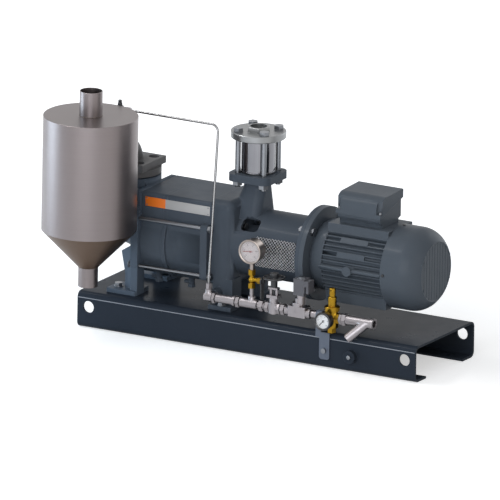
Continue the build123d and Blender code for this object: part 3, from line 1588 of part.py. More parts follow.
# Threaded fittings of the line: end tee, socket, union ring, nipples and gauge tee
port_boss_front = line_y + fitting_diameter / 2 + 12
with BuildPart() as line_fittings:
    bar_x(tee_x - 9, tee_x + 13, line_y, line_z, fitting_diameter / 2)
    bar_z(line_z, tee_top, tee_x, line_y, 9.0)
    bar_y(line_y, port_boss_front, tee_x, line_z, 9.5)
    bar_y(line_y + 3, port_boss_front + 6, tee_x, line_z, line_bore / 2 - seat_gap)
    bar_x(tee_x, tee_x + 14, line_y, line_z, line_bore / 2, Mode.SUBTRACT)
    bar_z(line_z, tee_top + 1, tee_x, line_y, tube_bore / 2, Mode.SUBTRACT)
    nipple(tee_x + 13, base_left + socket_start)
    bar_x(base_left + socket_start, base_left + ring_start, line_y, line_z, fitting_diameter / 2 - 1)
    bar_x(
        base_left + ring_start,
        base_left + ring_start + ring_length,
        line_y,
        line_z,
        fitting_diameter / 2 + 2,
    )
    nipple(base_left + ring_start + ring_length, base_left + gauge_tee_start)
    bar_x(base_left + gauge_tee_start, base_left + gauge_tee_end, line_y, line_z, fitting_diameter / 2)
    bar_z(line_z, line_z + 22, base_left + gauge_from_left, line_y, 9.0)
    bar_z(line_z, riser_top, base_left + gauge_from_left, line_y, riser_diameter / 2)
    nipple(base_left + gauge_tee_end, base_left + stop_valve_start)
    nipple(base_left + stop_valve_end, base_left + solenoid_start)
    bar_x(base_left + solenoid_end, base_left + regulator_start, line_y, line_z, line_pipe_diameter / 2)
    nipple(base_left + regulator_end, base_left + strainer_start)
    line_through(tee_x + 1, base_left + strainer_start + 1)
    bar_z(line_z, riser_top + 1, base_left + gauge_from_left, line_y, 3.0, Mode.SUBTRACT)
line_fittings.part.label = "line_fittings"
export_step(line_fittings.part, "parts/line_fittings.step")

# Brass gauge cock on the riser, with a spindle housing to the right
gauge_x = base_left + gauge_from_left
spindle_end = gauge_x + spindle_reach
with BuildPart() as gauge_cock:
    hexagon(Plane((gauge_x, line_y, riser_top)), cock_hex_height, cock_hex_flats)
    bar_z(riser_top + cock_hex_height, cock_height - 6, gauge_x, line_y, 6.0)
    with Locations((gauge_x, line_y, cock_height)):
        Sphere(cock_body_diameter / 2 + 1)
    bar_z(cock_height + 6, cock_top - cock_hex_height, gauge_x, line_y, 6.0)
    hexagon(Plane((gauge_x, line_y, cock_top - cock_hex_height)), cock_hex_height, cock_hex_flats)
    bar_x(gauge_x, spindle_end - 11, line_y, cock_height, 6.0)
    hexagon(
        Plane((spindle_end - 11, line_y, cock_height), x_dir=(0, 1, 0), z_dir=(1, 0, 0)),
        11.0,
        spindle_nut_flats,
    )
    bar_x(
        gauge_x - 5,
        spindle_end + 1,
        line_y,
        cock_height,
        spindle_diameter / 2 + running_gap,
        Mode.SUBTRACT,
    )
    bar_z(riser_top - 1, cock_top + 1, gauge_x, line_y, 3.0, Mode.SUBTRACT)
gauge_cock.part.label = "gauge_cock"
export_step(gauge_cock.part, "parts/gauge_cock.step")

# Cock lever: plug and spindle with a hanging handle
with BuildPart() as cock_lever:
    bar_x(gauge_x - 4, spindle_end + 0.3 + lever_thickness + 4, line_y, cock_height, spindle_diameter / 2)
    lever_left = spindle_end + 0.3
    with BuildSketch(Plane.YZ.offset(lever_left)):
        with Locations((line_y, cock_height)):
            Circle(lever_width * 0.7)
        with Locations((line_y, cock_height - lever_length / 2)):
            RectangleRounded(lever_width, lever_length, lever_width / 2 - 0.1)
    extrude(amount=lever_thickness)
    hexagon(
        Plane((lever_left + lever_thickness, line_y, cock_height), x_dir=(0, 1, 0), z_dir=(1, 0, 0)),
        4.0,
        12.0,
    )
cock_lever.part.label = "cock_lever"
export_step(cock_lever.part, "parts/cock_lever.step")


def gauge_body(x, z, front, depth, diameter):
    """Round gauge case that faces the front, with a recessed dial and a pivot hole."""
    bar_y(front, front + depth, x, z, diameter / 2 - 2)
    bar_y(front, front + 7, x, z, diameter / 2)
    bar_y(front - 1, front + gauge_recess, x, z, diameter / 2 - gauge_rim, Mode.SUBTRACT)
    bar_y(front, front + gauge_recess + 8, x, z, pointer_pivot / 2 + running_gap, Mode.SUBTRACT)


def gauge_needle(x, z, front, length, turn):
    """Pointer with its pivot pin, turned from the vertical."""
    needle_front = front + gauge_recess - 1.5
    with Locations(Location((x, needle_front, z), (0, turn, 0))):
        Box(2.0, pointer_thickness, length, align=(Align.CENTER, Align.MIN, Align.MIN))
        Box(2.6, pointer_thickness, length * 0.3, align=(Align.CENTER, Align.MIN, Align.MAX))
    bar_y(needle_front, needle_front + pointer_thickness, x, z, 3.0)
    bar_y(needle_front - 0.8, front + gauge_recess + 7, x, z, pointer_pivot / 2)


# Large gauge on the cock
gauge_front = line_y - gauge_depth / 2
with BuildPart() as gauge_case:
    gauge_body(gauge_x, gauge_height, gauge_front, gauge_depth, gauge_diameter)
    bar_z(cock_top, gauge_height - gauge_diameter / 2 + 6, gauge_x, line_y, 6.5)
gauge_case.part.label = "gauge_case"
export_step(gauge_case.part, "parts/gauge_case.step")

with BuildPart() as gauge_pointer:
    gauge_needle(gauge_x, gauge_height, gauge_front, gauge_diameter * 0.34, large_pointer_turn)
gauge_pointer.part.label = "gauge_pointer"
export_step(gauge_pointer.part, "parts/gauge_pointer.step")

# Stop valve body with a two-post yoke
stop_x = base_left + (stop_valve_start + stop_valve_end) / 2
with BuildPart() as stop_valve_body:
    bar_x(base_left + stop_valve_start, base_left + stop_valve_end, line_y, line_z, 12.0)
    for hex_left in (base_left + stop_valve_start, base_left + stop_valve_end - 10):
        hexagon(Plane((hex_left, line_y, line_z), x_dir=(0, 1, 0), z_dir=(1, 0, 0)), 10.0, hex_flats)
    bar_z(line_z - 14, line_z + 14, stop_x, line_y, 14.5)
    bar_z(line_z - 17, line_z, stop_x, line_y, 9.0)
    bar_z(line_z, valve_body_top - 8, stop_x, line_y, 12.5)
    with Locations((stop_x, line_y, valve_body_top - 4)):
        Box(32, 24, 8)
    for side in (-1, 1):
        bar_z(valve_body_top, yoke_top, stop_x + side * yoke_post_spacing / 2, line_y, yoke_post_diameter / 2)
    block(
        (stop_x - yoke_post_spacing / 2 - 5, stop_x + yoke_post_spacing / 2 + 5),
        (line_y - 7, line_y + 7),
        (yoke_top - yoke_plate, yoke_top),
    )
    bar_x(
        base_left + stop_valve_start - 1,
        base_left + stop_valve_end + 1,
        line_y,
        line_z,
        line_bore / 2,
        Mode.SUBTRACT,
    )
    bar_z(line_z - 6, valve_body_top - 3, stop_x, line_y, plug_diameter / 2 + 0.4, Mode.SUBTRACT)
    bar_z(line_z, yoke_top + 1, stop_x, line_y, stem_diameter / 2 + running_gap, Mode.SUBTRACT)
stop_valve_body.part.label = "stop_valve_body"
export_step(stop_valve_body.part, "parts/stop_valve_body.step")

# Handwheel with its stem
plug_top = line_z - 5.5 + plug_height
with BuildPart() as handwheel:
    bar_z(plug_top - stem_overlap, wheel_height, stop_x, line_y, stem_diameter / 2)
    bar_z(yoke_top + 0.4, wheel_height + 3, stop_x, line_y, wheel_hub_diameter / 2)
    bar_z(wheel_height - 3, wheel_cap_top, stop_x, line_y, wheel_cap_diameter / 2)
    fillet(handwheel.faces().sort_by(Axis.Z)[-1].edges(), 3.0)
    with Locations((stop_x, line_y, wheel_height)):
        Torus(wheel_diameter / 2 - wheel_rim / 2, wheel_rim / 2)
    for turn in range(0, 180, 60):
        with Locations(Location((stop_x, line_y, wheel_height), (0, 0, turn))):
            Box(wheel_diameter - wheel_rim, 5, 4)
handwheel.part.label = "handwheel"
export_step(handwheel.part, "parts/handwheel.step")

with BuildPart() as stop_valve_plug:
    bar_z(plug_top - plug_height, plug_top, stop_x, line_y, plug_diameter / 2)
    chamfer(stop_valve_plug.faces().sort_by(Axis.Z)[0].edges(), 2.0)
    bar_z(
        plug_top - plug_bore_depth,
        plug_top + 1,
        stop_x,
        line_y,
        stem_diameter / 2 + running_gap,
        Mode.SUBTRACT,
    )
stop_valve_plug.part.label = "stop_valve_plug"
export_step(stop_valve_plug.part, "parts/stop_valve_plug.step")

# Solenoid valve body with its core tube
coil_x = base_left + coil_from_left
block_middle = base_left + (solenoid_start + solenoid_end) / 2
with BuildPart() as solenoid_body:
    bar_x(base_left + solenoid_start, base_left + solenoid_end, line_y, line_z, fitting_diameter / 2 + 1)
    block(
        (block_middle - solenoid_block_length / 2, block_middle + solenoid_block_length / 2),
        (line_y - solenoid_block_width / 2, line_y + solenoid_block_width / 2),
        (line_z - 12, solenoid_block_top - 9),
    )
    fillet(solenoid_body.edges().filter_by(Axis.Z), 5.0)
    bar_z(line_z, solenoid_block_top, coil_x - 8, line_y, 17.0)
    bar_z(solenoid_block_top - 3, coil_bottom - 10, coil_x - 4, line_y, 13.0)
    bar_z(solenoid_block_top - 5, coil_top + 2, coil_x, line_y, coil_tube_diameter / 2)
    bar_z(solenoid_block_top - 5, coil_bottom - 0.2, coil_x, line_y, 12.0)
    bar_x(
        base_left + solenoid_start - 1,
        base_left + solenoid_end + 1,
        line_y,
        line_z,
        line_bore / 2,
        Mode.SUBTRACT,
    )
    bar_z(
        line_z + 3,
        line_z + plunger_length + plunger_stroke + 12,
        coil_x,
        line_y,
        plunger_diameter / 2 + running_gap,
        Mode.SUBTRACT,
    )
solenoid_body.part.label = "solenoid_body"
export_step(solenoid_body.part, "parts/solenoid_body.step")

# Coil with its plug connector
with BuildPart() as solenoid_coil:
    block(
        (coil_x - coil_width / 2, coil_x + coil_width / 2),
        (line_y - coil_width / 2, line_y + coil_width / 2),
        (coil_bottom, coil_top),
    )
    fillet(solenoid_coil.edges().filter_by(Axis.Z), 3.0)
    block(
        (coil_x + coil_width / 2 - 1, coil_x + coil_width / 2 + connector_length),
        (line_y - connector_width / 2 - 1, line_y + connector_width / 2 - 1),
        (coil_bottom + 8, coil_top - 3),
    )
    block(
        (coil_x + coil_width / 2 + 1, coil_x + coil_width / 2 + 6),
        (line_y - connector_width / 2 - 2, line_y - connector_width / 2 + 6),
        (coil_bottom + 7, coil_bottom + 26),
        Mode.SUBTRACT,
    )
    bar_z(coil_bottom - 1, coil_top + 1, coil_x, line_y, coil_tube_diameter / 2, Mode.SUBTRACT)
solenoid_coil.part.label = "solenoid_coil"
export_step(solenoid_coil.part, "parts/solenoid_coil.step")

with BuildPart() as solenoid_plunger:
    bar_z(line_z + 8, line_z + 8 + plunger_length, coil_x, line_y, plunger_diameter / 2)
solenoid_plunger.part.label = "solenoid_plunger"
export_step(solenoid_plunger.part, "parts/solenoid_plunger.step")

# Pressure regulator body, spring housing and bottom cap
regulator_x = base_left + (regulator_start + regulator_end) / 2
with BuildPart() as regulator_body:
    for hex_left in (base_left + regulator_start, base_left + regulator_end - 11):
        hexagon(Plane((hex_left, line_y, line_z), x_dir=(0, 1, 0), z_dir=(1, 0, 0)), 11.0, hex_flats - 2)
    bar_x(base_left + regulator_start, base_left + regulator_end, line_y, line_z, 11.0)
    bar_z(regulator_cap_top, regulator_flange_bottom, regulator_x, line_y, regulator_body_diameter / 2)
    bar_z(regulator_flange_bottom, regulator_flange_top, regulator_x, line_y, regulator_flange_diameter / 2)
    chamfer(regulator_body.faces().sort_by(Axis.Z)[-1].edges(), 2.0)
    bar_z(regulator_flange_top, spring_housing_top, regulator_x, line_y, spring_housing_diameter / 2)
    chamfer(regulator_body.faces().sort_by(Axis.Z)[-1].edges(), 2.5)
    hexagon(
        Plane((regulator_x, line_y, regulator_cap_bottom)),
        regulator_cap_top - regulator_cap_bottom,
        regulator_cap_flats,
    )
    bar_y(line_y - regulator_body_diameter / 2 - 4, line_y, regulator_x, line_z, 9.0)
    bar_x(
        base_left + regulator_start - 1,
        base_left + regulator_end + 1,
        line_y,
        line_z,
        line_bore / 2 - 2,
        Mode.SUBTRACT,
    )
    bar_z(
        spring_housing_top - screw_stem_length - 2,
        spring_housing_top + 1,
        regulator_x,
        line_y,
        screw_stem_diameter / 2 + running_gap,
        Mode.SUBTRACT,
    )
regulator_body.part.label = "regulator_body"
export_step(regulator_body.part, "parts/regulator_body.step")

# Adjusting screw with a cross hole in its head
with BuildPart() as regulator_screw:
    bar_z(
        spring_housing_top - screw_stem_length,
        spring_housing_top + 1,
        regulator_x,
        line_y,
        screw_stem_diameter / 2,
    )
    bar_z(spring_housing_top + 0.3, screw_top, regulator_x, line_y, screw_head_diameter / 2)
    bar_z(spring_housing_top + 8, spring_housing_top + 10, regulator_x, line_y, screw_head_diameter / 2 + 1)
    chamfer(regulator_screw.faces().sort_by(Axis.Z)[-1].edges(), 1.5)
    bar_y(line_y - 20, line_y + 20, regulator_x, screw_top - 6, screw_hole / 2, Mode.SUBTRACT)
regulator_screw.part.label = "regulator_screw"
export_step(regulator_screw.part, "parts/regulator_screw.step")

# Small gauge in front of the regulator
small_front = line_y - small_gauge_front
gauge_port = line_y - regulator_body_diameter / 2 - 4
with BuildPart() as regulator_gauge:
    gauge_body(regulator_x, line_z, small_front, small_gauge_depth, small_gauge_diameter)
    bar_y(small_front + small_gauge_depth, gauge_port, regulator_x, line_z, 6.0)
regulator_gauge.part.label = "regulator_gauge"
export_step(regulator_gauge.part, "parts/regulator_gauge.step")

with BuildPart() as regulator_pointer:
    gauge_needle(regulator_x, line_z, small_front, small_gauge_diameter * 0.33, small_pointer_turn)
regulator_pointer.part.label = "regulator_pointer"
export_step(regulator_pointer.part, "parts/regulator_pointer.step")

# Strainer: through body and a leg at an angle, closed by a cap
leg_root = Vector(base_left + leg_root_from_left, line_y, line_z)
leg_line = Vector(-leg_back, -leg_forward, -leg_down)
leg_direction = leg_line.normalized()
with BuildPart() as strainer_body:
    bar_x(base_left + strainer_start, base_left + strainer_end, line_y, line_z, strainer_diameter / 2)
    hexagon(
        Plane((base_left + strainer_start, line_y, line_z), x_dir=(0, 1, 0), z_dir=(1, 0, 0)),
        11.0,
        hex_flats + 2,
    )
    bar_x(base_left + strainer_end - 8, base_left + strainer_end, line_y, line_z, strainer_ring_diameter / 2)
    with BuildSketch(Plane(leg_root, z_dir=leg_direction)):
        Circle(strainer_leg_diameter / 2)
    extrude(amount=leg_line.length)
    with BuildSketch(Plane(leg_root, z_dir=leg_direction)):
        Circle(strainer_leg_diameter / 2 - 4)
    extrude(amount=leg_line.length + 1, mode=Mode.SUBTRACT)
    bar_x(
        base_left + strainer_start - 1,
        base_left + strainer_end,
        line_y,
        line_z,
        line_bore / 2,
        Mode.SUBTRACT,
    )
    bar_x(
        base_left + strainer_end - inlet_depth,
        base_left + strainer_end + 1,
        line_y,
        line_z,
        inlet_radius,
        Mode.SUBTRACT,
    )
strainer_body.part.label = "strainer_body"
export_step(strainer_body.part, "parts/strainer_body.step")

with BuildPart() as strainer_cap:
    with BuildSketch(Plane(leg_root + leg_line, z_dir=leg_direction)):
        Circle(strainer_leg_diameter / 2 - 1)
    extrude(amount=3)
    with BuildSketch(Plane(leg_root + leg_line, z_dir=leg_direction)):
        Circle(strainer_leg_diameter / 2 - 4 - seat_gap)
    extrude(amount=-9)
strainer_cap.part.label = "strainer_cap"
export_step(strainer_cap.part, "parts/strainer_cap.step")

# Screen inside the strainer's leg
screen_outer = 7.0
screen_wall = 0.8
screen_start = 14.0
with BuildPart() as strainer_screen:
    with BuildSketch(Plane(leg_root + leg_direction * screen_start, z_dir=leg_direction)):
        Circle(screen_outer)
        Circle(screen_outer - screen_wall, mode=Mode.SUBTRACT)
    extrude(amount=leg_line.length - screen_start - 9)
strainer_screen.part.label = "strainer_screen"
export_step(strainer_screen.part, "parts/strainer_screen.step")
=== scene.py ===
import json
import logging
import math
from collections.abc import Callable, Iterable, Sequence
from dataclasses import dataclass
from enum import Enum

import bmesh
import bpy
from mathutils import Matrix, Vector


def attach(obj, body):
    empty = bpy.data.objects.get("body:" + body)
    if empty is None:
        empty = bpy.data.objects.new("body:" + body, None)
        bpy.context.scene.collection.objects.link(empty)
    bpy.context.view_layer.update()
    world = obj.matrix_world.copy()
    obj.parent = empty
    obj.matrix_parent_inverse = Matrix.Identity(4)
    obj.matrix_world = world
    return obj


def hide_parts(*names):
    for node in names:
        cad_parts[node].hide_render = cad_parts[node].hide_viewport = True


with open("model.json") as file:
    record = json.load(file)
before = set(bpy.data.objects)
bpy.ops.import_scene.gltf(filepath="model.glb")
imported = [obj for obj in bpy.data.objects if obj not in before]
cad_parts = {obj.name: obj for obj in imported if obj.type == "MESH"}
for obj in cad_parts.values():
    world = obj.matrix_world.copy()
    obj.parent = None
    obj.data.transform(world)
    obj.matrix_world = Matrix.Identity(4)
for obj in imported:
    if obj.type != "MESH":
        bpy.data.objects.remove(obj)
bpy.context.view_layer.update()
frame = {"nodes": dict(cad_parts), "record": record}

LOG = logging.getLogger("pump_package")
Color = tuple[float, float, float]
Point = tuple[float, float, float]
Profile = Sequence[tuple[float, float]]
Socket = bpy.types.NodeSocket
Mesh = bpy.types.Mesh


# Places, all in millimetres from the base's left front corner on the floor

BASE_LEFT = -481.5
BASE_FRONT = -56.5
SHAFT_Y = 157.0
SHAFT_Z = 262.0
NECK_X = 446.0
TANK_X = 73.0
TANK_Y = -76.0
LINE_Y = 8.0
LINE_Z = 139.0

SAME_PLACE = 1e-6  # metres below which two points are one
NODE_SAME_PLACE = 2e-6
FLAT_ANGLE = 0.3  # degrees below which two faces of a node are one
SMOOTH_ANGLE = 32.0  # degrees below which an edge is shaded smooth
SHEET_STEPS = 160  # steps round the tank
FINE_STEPS = 144  # steps round the cowl
DOME_STEPS = 24  # steps along the cowl's shoulder


def at(x: float, y: float, z: float) -> Vector:
    """Row frame point, in metres, of a place measured from the base's corner."""
    return Vector((BASE_LEFT + x, BASE_FRONT + y, z)) / 1000


class Way(Enum):
    """Direction in which a turned or extruded shape runs."""

    RIGHT = (1, 0, 0)
    BACK = (0, 1, 0)
    FRONT = (0, -1, 0)
    UP = (0, 0, 1)
    DOWN = (0, 0, -1)

    @property
    def vector(self) -> Vector:
        """Unit vector of the direction."""
        return Vector(self.value)

    def frame(self, origin: Vector) -> Matrix:
        """Matrix that takes +Z to the direction and zero to the origin."""
        turn = Vector((0, 0, 1)).rotation_difference(self.vector)
        return Matrix.Translation(origin) @ turn.to_matrix().to_4x4()


class NodeWriter:
    """Writes nodes and links into one node tree."""

    def __init__(self, tree: bpy.types.NodeTree) -> None:
        """Keeps the tree that the nodes go into."""
        self.tree = tree

    def add(self, kind: str, inputs: dict | None = None, **settings: object) -> bpy.types.Node:
        """Adds a node.

        Args:
            kind: Blender's name for the node.
            inputs: Values or sockets by input name or number.
            settings: Properties of the node itself.

        Returns:
            The new node.
        """
        node = self.tree.nodes.new(kind)
        for key, value in settings.items():
            setattr(node, key, value)
        self.fill(node, inputs or {})
        return node

    def fill(self, node: bpy.types.Node, inputs: dict) -> None:
        """Sets inputs of a node.

        Args:
            node: The node.
            inputs: Values or sockets by input name or number.
        """
        for key, value in inputs.items():
            if isinstance(value, bpy.types.NodeSocket):
                self.tree.links.new(value, node.inputs[key])
            else:
                node.inputs[key].default_value = value

    def sum(self, operation: str, first: object, second: object = 0.0) -> Socket:
        """Result of a two-value sum.

        Args:
            operation: Blender's name for the operation.
            first: Value or socket.
            second: Value or socket.

        Returns:
            The socket that holds the result.
        """
        return self.add("ShaderNodeMath", {0: first, 1: second}, operation=operation).outputs[0]

    def times(self, first: object, second: object) -> Socket:
        """Product of two values or sockets."""
        return self.sum("MULTIPLY", first, second)

    def plus(self, first: object, second: object) -> Socket:
        """Total of two values or sockets."""
        return self.sum("ADD", first, second)

    def minus(self, first: object, second: object) -> Socket:
        """First value or socket less the second."""
        return self.sum("SUBTRACT", first, second)

    def vector_math(self, operation: str, *vectors: object) -> object:
        """Outputs of a vector operation on one or two vectors."""
        return self.add("ShaderNodeVectorMath", dict(enumerate(vectors)), operation=operation).outputs

    def ramp(self, value: Socket, low: float, high: float, to_low: float, to_high: float) -> Socket:
        """Maps a value from one range to another, clamped."""
        inputs = {0: value, 1: low, 2: high, 3: to_low, 4: to_high}
        return self.add("ShaderNodeMapRange", inputs).outputs[0]

    def blend(self, factor: object, first: object, second: object) -> Socket:
        """Mixes two colours by a factor."""
        inputs = {0: factor, 6: first, 7: second}
        return self.add("ShaderNodeMix", inputs, data_type="RGBA").outputs[2]

    def vector(self, x: object = 0.0, y: object = 0.0, z: object = 0.0) -> Socket:
        """Vector of three values or sockets."""
        return self.add("ShaderNodeCombineXYZ", {0: x, 1: y, 2: z}).outputs[0]

    def seen(self) -> Socket:
        """One for rays that show a surface, straight, in a reflection or through glass.

        Returns:
            Socket of the share, zero or one.
        """
        rays = self.add("ShaderNodeLightPath").outputs
        direct = self.sum("MAXIMUM", rays["Is Camera Ray"], rays["Is Glossy Ray"])
        return self.sum("MAXIMUM", direct, rays["Is Transmission Ray"])

    def noise(self, place: Socket, scale: object, detail: float) -> Socket:
        """Grey cloud over a place."""
        return self.add("ShaderNodeTexNoise", {"Vector": place, "Scale": scale, "Detail": detail}).outputs[0]

    def moved(self, shape: Socket, place: object = (0.0, 0.0, 0.0), turn: object = (0.0, 0.0, 0.0)) -> Socket:
        """Geometry shifted and turned."""
        inputs = {"Geometry": shape, "Translation": place, "Rotation": turn}
        return self.add("GeometryNodeTransform", inputs).outputs[0]

    def index(self) -> Socket:
        """Number of each point."""
        return self.add("GeometryNodeInputIndex").outputs[0]

    def spots(self, count: object, x: object, y: object = 0.0) -> Socket:
        """So many points, each at its own X and Y."""
        row = self.add("GeometryNodeMeshLine", {"Count": count, "Offset": (0.0, 0.0, 0.0)}).outputs[0]
        return self.add("GeometryNodeSetPosition", {"Geometry": row, "Position": self.vector(x, y)}).outputs[0]

    def copies(self, points: Socket, shape: Socket, inputs: dict | None = None) -> Socket:
        """Copies of a shape on points, with further inputs such as their turn."""
        wanted = {"Points": points, "Instance": shape, **(inputs or {})}
        return self.add("GeometryNodeInstanceOnPoints", wanted).outputs[0]

    def ring(self, corners: int, radius: object) -> Socket:
        """Round curve of so many corners."""
        inputs = {"Resolution": corners, "Radius": radius}
        return self.add("GeometryNodeCurvePrimitiveCircle", inputs).outputs[0]

    def wire(self, curve: Socket, section: Socket) -> Socket:
        """Mesh of a curve with a section."""
        return self.add("GeometryNodeCurveToMesh", {"Curve": curve, "Profile Curve": section}).outputs[0]

    def joined(self, *shapes: Socket) -> Socket:
        """Several geometries as one.

        Args:
            shapes: Sockets of the geometries.

        Returns:
            Socket of the joined geometry.
        """
        node = self.add("GeometryNodeJoinGeometry")
        for shape in reversed(shapes):
            self.tree.links.new(shape, node.inputs[0])
        return node.outputs[0]


def fresh(holder: bpy.types.ID) -> NodeWriter:
    """Writer on the emptied node tree of a material or a world.

    Args:
        holder: The material or the world.

    Returns:
        The writer.
    """
    holder.use_nodes = True
    holder.node_tree.nodes.clear()
    return NodeWriter(holder.node_tree)


COLOR, FLOAT, VECTOR, INTEGER = "NodeSocketColor", "NodeSocketFloat", "NodeSocketVector", "NodeSocketInt"
WHITE = (1.0, 1.0, 1.0, 1.0)
BLACK = (0.0, 0.0, 0.0, 1.0)
UPRIGHT = (0.0, 0.0, 1.0)
RESULT_KINDS = {"Color": COLOR, "Roughness": FLOAT, "Normal": VECTOR}


def add_inputs(tree: bpy.types.NodeTree, inputs: dict) -> None:
    """Gives a node group its named inputs, each of the kind that its first value has.

    Args:
        tree: The node group.
        inputs: First value of each input, by name.
    """
    for name, value in inputs.items():
        if isinstance(value, tuple):
            kind = COLOR if len(value) == len(WHITE) else VECTOR
        else:
            kind = INTEGER if isinstance(value, int) else FLOAT
        socket = tree.interface.new_socket(name, in_out="INPUT", socket_type=kind)
        socket.default_value = value


# Shader groups, each built once and placed in the finishes with its own values


EDGE_WEAR_AND_HIGHLIGHT = (0.99, 0.8, 0.0, 1.0)  # from the two normals' agreement to the edge wear and painted highlight
DUST_SLOPE = (0.55, 1.0, 0.0, 1.0)  # from the normal's upward share to the dust
DUST_PATCHES = (0.35, 0.7, 0.25, 1.0)  # from the cloud to the dust
DUST_ROUGHNESS = 0.3
LINE_SHARE = 0.6  # of the drawn lines in a metal's colour
CLOUD_SHARE = 0.4


class ShaderGroups:
    """Builds and keeps the shader node groups."""

    def __init__(self) -> None:
        """Builds every group."""
        surface = ("Color", "Roughness", "Normal")
        self.edge = self._group("edge_break", self._write_edge, ("Color", "Normal"), {
            "Color": WHITE, "Edge": WHITE, "Amount": 0.3, "Radius": 0.001,
        })
        self.skin = self._group("cast_skin", self._write_skin, surface, {
            "Color": WHITE, "Shade": BLACK, "Mottle": 0.3, "Mottle Scale": 20.0, "Roughness": 0.4,
            "Roughness Spread": 0.2, "Peel Scale": 400.0, "Peel Height": 0.0002, "Normal": UPRIGHT,
        })
        self.dust = self._group("settled_dust", self._write_dust, ("Color", "Roughness"), {
            "Color": WHITE, "Roughness": 0.4, "Dust": WHITE, "Amount": 0.1,
        })
        self.grain = self._group("drawn_grain", self._write_grain, surface, {
            "Color": WHITE, "Shade": BLACK, "Tint": 0.3, "Line Scale": (4.0, 4.0, 900.0), "Roughness": 0.3,
            "Roughness Spread": 0.2, "Depth": 0.00005, "Normal": UPRIGHT,
        })

    def _group(
        self, name: str, write: Callable[[NodeWriter, object], dict], results: Sequence[str], inputs: dict,
    ) -> bpy.types.NodeTree:
        """Makes a group with its sockets and lets a writer fill it.

        Args:
            name: Name of the group.
            write: Method that writes the nodes and returns the result sockets by name.
            results: Names of the outputs.
            inputs: First value of each input, by name.

        Returns:
            The finished group.
        """
        tree = bpy.data.node_groups.new(name, "ShaderNodeTree")
        add_inputs(tree, inputs)
        for result in results:
            tree.interface.new_socket(result, in_out="OUTPUT", socket_type=RESULT_KINDS[result])
        writer = NodeWriter(tree)
        written = write(writer, writer.add("NodeGroupInput").outputs)
        writer.add("NodeGroupOutput", {result: written[result] for result in results})
        return tree

    def _write_edge(self, w: NodeWriter, source: object) -> dict:
        """Rounded look of sharp edges, with a lighter colour on them: partly edge wear, partly a painted
        highlight, on hollow edges too.

        Args:
            w: Writer of the group's tree.
            source: The group's inputs.

        Returns:
            Result sockets by name.
        """
        rounded = w.add("ShaderNodeBevel", {"Radius": source["Radius"]}, samples=6).outputs[0]
        plain = w.add("ShaderNodeNewGeometry").outputs["Normal"]
        agree = w.vector_math("DOT_PRODUCT", rounded, plain)["Value"]
        # Lighter colour on the rounded edges: edge wear and painted highlight.
        wear_and_highlight = w.times(w.ramp(agree, *EDGE_WEAR_AND_HIGHLIGHT), source["Amount"])
        return {"Color": w.blend(wear_and_highlight, source["Color"], source["Edge"]), "Normal": rounded}

    def _write_skin(self, w: NodeWriter, source: object) -> dict:
        """Mottled colour with an orange-peel surface.

        Args:
            w: Writer of the group's tree.
            source: The group's inputs.

        Returns:
            Result sockets by name.
        """
        place = w.add("ShaderNodeTexCoord").outputs["Object"]
        cloud = w.noise(place, source["Mottle Scale"], 5.0)
        color = w.blend(w.times(cloud, source["Mottle"]), source["Color"], source["Shade"])
        spread = w.times(w.minus(cloud, 0.5), source["Roughness Spread"])
        peel = w.noise(place, source["Peel Scale"], 3.0)
        bump = w.add("ShaderNodeBump", {
            "Distance": source["Peel Height"], "Height": peel, "Normal": source["Normal"],
        })
        rough = w.plus(source["Roughness"], spread)
        return {"Color": color, "Roughness": rough, "Normal": bump.outputs[0]}

    def _write_dust(self, w: NodeWriter, source: object) -> dict:
        """Fine dust that lies on what faces up.

        Args:
            w: Writer of the group's tree.
            source: The group's inputs.

        Returns:
            Result sockets by name.
        """
        place = w.add("ShaderNodeTexCoord").outputs["Object"]
        normal = w.add("ShaderNodeNewGeometry").outputs["Normal"]
        up = w.add("ShaderNodeSeparateXYZ", {0: normal}).outputs[2]
        patch = w.ramp(w.noise(place, 9.0, 7.0), *DUST_PATCHES)
        mask = w.times(w.ramp(up, *DUST_SLOPE), w.times(patch, source["Amount"]))
        color = w.blend(mask, source["Color"], source["Dust"])
        return {"Color": color, "Roughness": w.plus(source["Roughness"], w.times(mask, DUST_ROUGHNESS))}

    def _write_grain(self, w: NodeWriter, source: object) -> dict:
        """Fine lines drawn along one direction of a metal surface.

        Args:
            w: Writer of the group's tree.
            source: The group's inputs.

        Returns:
            Result sockets by name.
        """
        place = w.add("ShaderNodeTexCoord").outputs["Object"]
        lines = w.noise(w.vector_math("MULTIPLY", place, source["Line Scale"])[0], 1.0, 4.0)
        mixed = w.plus(w.times(lines, LINE_SHARE), w.times(w.noise(place, 7.0, 4.0), CLOUD_SHARE))
        color = w.blend(w.times(mixed, source["Tint"]), source["Color"], source["Shade"])
        spread = w.times(w.minus(mixed, 0.5), source["Roughness Spread"])
        bump = w.add("ShaderNodeBump", {
            "Distance": source["Depth"], "Height": lines, "Normal": source["Normal"],
        })
        rough = w.plus(source["Roughness"], spread)
        return {"Color": color, "Roughness": rough, "Normal": bump.outputs[0]}


GROUPS = ShaderGroups()
DUST_COLOR = (0.36, 0.34, 0.31, 1.0)
MOTTLE_SCALE = 26.0
PAINT_SPREAD = 0.16
COAT_ROUGHNESS = 0.14


def rgba(color: Color) -> tuple[float, float, float, float]:
    """Colour with full cover."""
    return (*color, 1.0)


